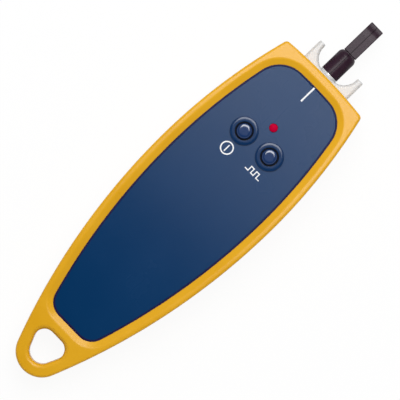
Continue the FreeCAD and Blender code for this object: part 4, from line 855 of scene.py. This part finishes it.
def inkPiece(name, bm, material, rows):
    # thickens flat faces and lays them on the crowned panel
    sliceRows(bm, *rows)
    raiseFaces(bm, bmesh.ops.extrude_face_region(bm, geom=bm.faces[:])["geom"], marks["thick"])
    for v in bm.verts:
        v.co.z += panelZ(v.co.y) - marks["thick"] / 4
    finishPiece(name, bm, "case", "white_plastic", material)


panelShadeStrip = {"tuck": 0.15, "wide": 0.5, "headShare": 0.7, "tailShare": 1.3, "rows": (-70.0, 2.5, 52)}


def makePanelShadeStrip():
    # a painted shade strip on the panel's edge beside the boot's lip, standing in for the shadow in the gap between
    # them; it is wider at the tail than at the head
    bm = bmesh.new()
    b, tuck, wide = boot, panelShadeStrip["tuck"], panelShadeStrip["wide"]
    outer = halfOutline(bm, 0.0, b["rimWidth"] - tuck, b["rimHead"] - tuck, b["panelHeadR"] + tuck,
                        b["panelTailR"] + tuck, b["panelTailY"] - tuck)
    inner = halfOutline(bm, 0.0, b["rimWidth"] + wide, b["rimHead"] + wide * panelShadeStrip["headShare"],
                        b["panelHeadR"] - wide, b["panelTailR"] - wide,
                        b["panelTailY"] + wide * panelShadeStrip["tailShare"])
    fillBetween(bm, outer, inner)
    mirrorHalf(bm)
    inkPiece("panelShadeStrip", bm, rimShadeFinish, panelShadeStrip["rows"])


def flatBar(bm, x, y):
    # a flat bar between two corners of a rectangle
    middle = ((x[0] + x[1]) / 2, (y[0] + y[1]) / 2, 0.0)
    bmesh.ops.create_grid(bm, x_segments=1, y_segments=1, size=0.5,
                          matrix=Matrix.Translation(middle) @ Matrix.Diagonal((x[1] - x[0], y[1] - y[0], 1.0, 1.0)))


def squareStroke(bm, points, half):
    # a flat stroke along a line that turns only at right angles
    sides = ([], [])
    ends = [2 * points[0] - points[1], 2 * points[-1] - points[-2]]
    for before, here, after in zip(ends[:1] + points, points, points[1:] + ends[1:]):
        come, go = (here - before).normalized(), (after - here).normalized()
        atEnd = here is points[0] or here is points[-1]
        reach = go.orthogonal() if atEnd else come.orthogonal() + go.orthogonal()
        middle = here + go * half * ((here is points[-1]) - (here is points[0]))  # the ends stand out square
        sides[0].append(middle + reach * half)
        sides[1].append(middle - reach * half)
    chain = [bm.verts.new((x, y, 0.0)) for x, y in sides[0] + sides[1][::-1]]
    bmesh.ops.edgeloop_fill(bm, edges=wireEdges(bm, chain + chain[:1]))


def makeMarks():
    ring = marks["ring"]
    bm = bmesh.new()
    for r in (ring["r"], ring["r"] - ring["stroke"]):
        bmesh.ops.create_circle(bm, segments=ring["steps"], radius=r,
                                matrix=Matrix.Translation((ring["x"], ring["y"], 0)))
    bmesh.ops.bridge_loops(bm, edges=bm.edges[:])
    flatBar(bm, (ring["x"] - ring["barHalf"], ring["x"] + ring["barHalf"]), ring["bar"])
    inkPiece("powerMark", bm, printInk, marks["rows"])
    bm = bmesh.new()
    aim = marks["aim"]
    flatBar(bm, (aim["x"] - aim["wide"] / 2, aim["x"] + aim["wide"] / 2), aim["y"])
    inkPiece("aimMark", bm, printInk, marks["rows"])
    pulse = marks["pulse"]
    bm = bmesh.new()
    low, high = pulse["y"]
    pitch = (pulse["x"][1] - pulse["x"][0]) / (2 * pulse["steps"] + 1)
    points = []
    for i in range(2 * pulse["steps"] + 1):
        level = high if i % 2 else low
        points += [Vector((pulse["x"][0] + i * pitch, level)), Vector((pulse["x"][0] + (i + 1) * pitch, level))]
    squareStroke(bm, points, pulse["stroke"] / 2)
    inkPiece("pulseMark", bm, printInk, marks["rows"])


makeMarks()
makePanelShadeStrip()
print("marks made")


# Floor, light and camera

# lengths here are in metres
stage = {
    "floorHalf": 3.0, "floorDrop": 0.00005, "floorColour": (0.93, 0.93, 0.93), "floorRough": 0.9,
    "floorShare": 0.93, "side": 0.42, "above": 0.03, "climb": (0.52, 0.88),
    "key": 8.1, "keyPlace": (-0.19, 0.38, 0.94), "keySize": 0.68,
    "fill": 2.3, "fillPlace": (-0.05, 0.10, 1.05), "fillSize": 0.42,
    "lens": 600.0, "sensor": 36.0, "frameWide": 0.1497, "sharpZ": 0.016, "aim": (0.00031, -0.00047),
    "turn": 46.05, "nearest": 0.01,
}


def cameraRays(tree):
    # 1 for what the camera sees itself, in a mirror or through glass
    path = tree.nodes.new("ShaderNodeLightPath")
    seen = makeMath(tree, "MAXIMUM", path.outputs["Is Camera Ray"], path.outputs["Is Glossy Ray"])
    return makeMath(tree, "MAXIMUM", seen, path.outputs["Is Transmission Ray"])


def mixShaders(tree, factor, first, second):
    node = tree.nodes.new("ShaderNodeMixShader")
    for socket, given in zip(node.inputs, (factor, first, second)):
        tree.links.new(given, socket)
    return node.outputs[0]


def makeFloor():
    bm = bmesh.new()
    bmesh.ops.create_grid(bm, x_segments=1, y_segments=1, size=stage["floorHalf"],
                          matrix=Matrix.Translation((0.0, 0.0, -stage["floorDrop"])))
    mesh = bpy.data.meshes.new("floor")
    bm.to_mesh(mesh)
    bm.free()
    floor = bpy.data.objects.new("floor", mesh)
    bpy.context.scene.collection.objects.link(floor)
    material, tree, shader, _ = startMaterial("paleFloor")
    shader.inputs["Base Color"].default_value = (*stage["floorColour"], 1)
    shader.inputs["Roughness"].default_value = stage["floorRough"]
    glow = tree.nodes.new("ShaderNodeEmission").outputs[0]
    seen = makeMath(tree, "MULTIPLY", cameraRays(tree), stage["floorShare"])
    above = mixShaders(tree, seen, shader.outputs[0], glow)
    # the floor is clear from underneath, so the back and its door can be looked at
    fromBelow = tree.nodes.new("ShaderNodeNewGeometry").outputs["Backfacing"]
    clear = tree.nodes.new("ShaderNodeBsdfTransparent").outputs[0]
    tree.links.new(mixShaders(tree, fromBelow, above, clear), endOf(tree))
    mesh.materials.append(material)


def makeWorld():
    # white to the eye; its light comes from the sides and hardly from above
    world = bpy.data.worlds.new("paleRoom")
    bpy.context.scene.world = world
    world.use_nodes = True
    tree = world.node_tree
    tree.nodes.clear()
    split = tree.nodes.new("ShaderNodeSeparateXYZ")
    tree.links.new(tree.nodes.new("ShaderNodeTexCoord").outputs["Generated"], split.inputs[0])
    climb = makeMath(tree, "ABSOLUTE", split.outputs["Z"])
    room, white = tree.nodes.new("ShaderNodeBackground"), tree.nodes.new("ShaderNodeBackground")
    tree.links.new(makeRange(tree, climb, *stage["climb"], stage["side"], stage["above"]), room.inputs["Strength"])
    for source in (room, white):
        source.inputs["Color"].default_value = (1, 1, 1, 1)
    seen = tree.nodes.new("ShaderNodeLightPath").outputs["Is Camera Ray"]
    tree.links.new(mixShaders(tree, seen, room.outputs[0], white.outputs[0]),
                   tree.nodes.new("ShaderNodeOutputWorld").inputs["Surface"])


def makeLights():
    for name in ("key", "fill"):
        light = bpy.data.lights.new(name + "Light", "AREA")
        light.energy = stage[name]
        light.size = stage[name + "Size"]
        lightObject = bpy.data.objects.new(name + "Light", light)
        bpy.context.scene.collection.objects.link(lightObject)
        lightObject.location = stage[name + "Place"]
        lightObject.rotation_euler = (-Vector(stage[name + "Place"])).to_track_quat("-Z", "Y").to_euler()


def makeCamera():
    # a long lens straight above, with a picture frameWide across at the height sharpZ
    lens = bpy.data.cameras.new("camera")
    lens.lens = stage["lens"]
    lens.sensor_width = stage["sensor"]
    lens.clip_start = stage["nearest"]
    cameraObject = bpy.data.objects.new("camera", lens)
    bpy.context.scene.collection.objects.link(cameraObject)
    far = stage["frameWide"] * stage["lens"] / stage["sensor"]
    cameraObject.location = (*stage["aim"], far + stage["sharpZ"])
    cameraObject.rotation_euler = (0, 0, math.radians(stage["turn"]))
    bpy.context.scene.camera = cameraObject
    bpy.context.scene.view_settings.view_transform = "Standard"


makeFloor()
makeWorld()
makeLights()
makeCamera()
print("stage set")
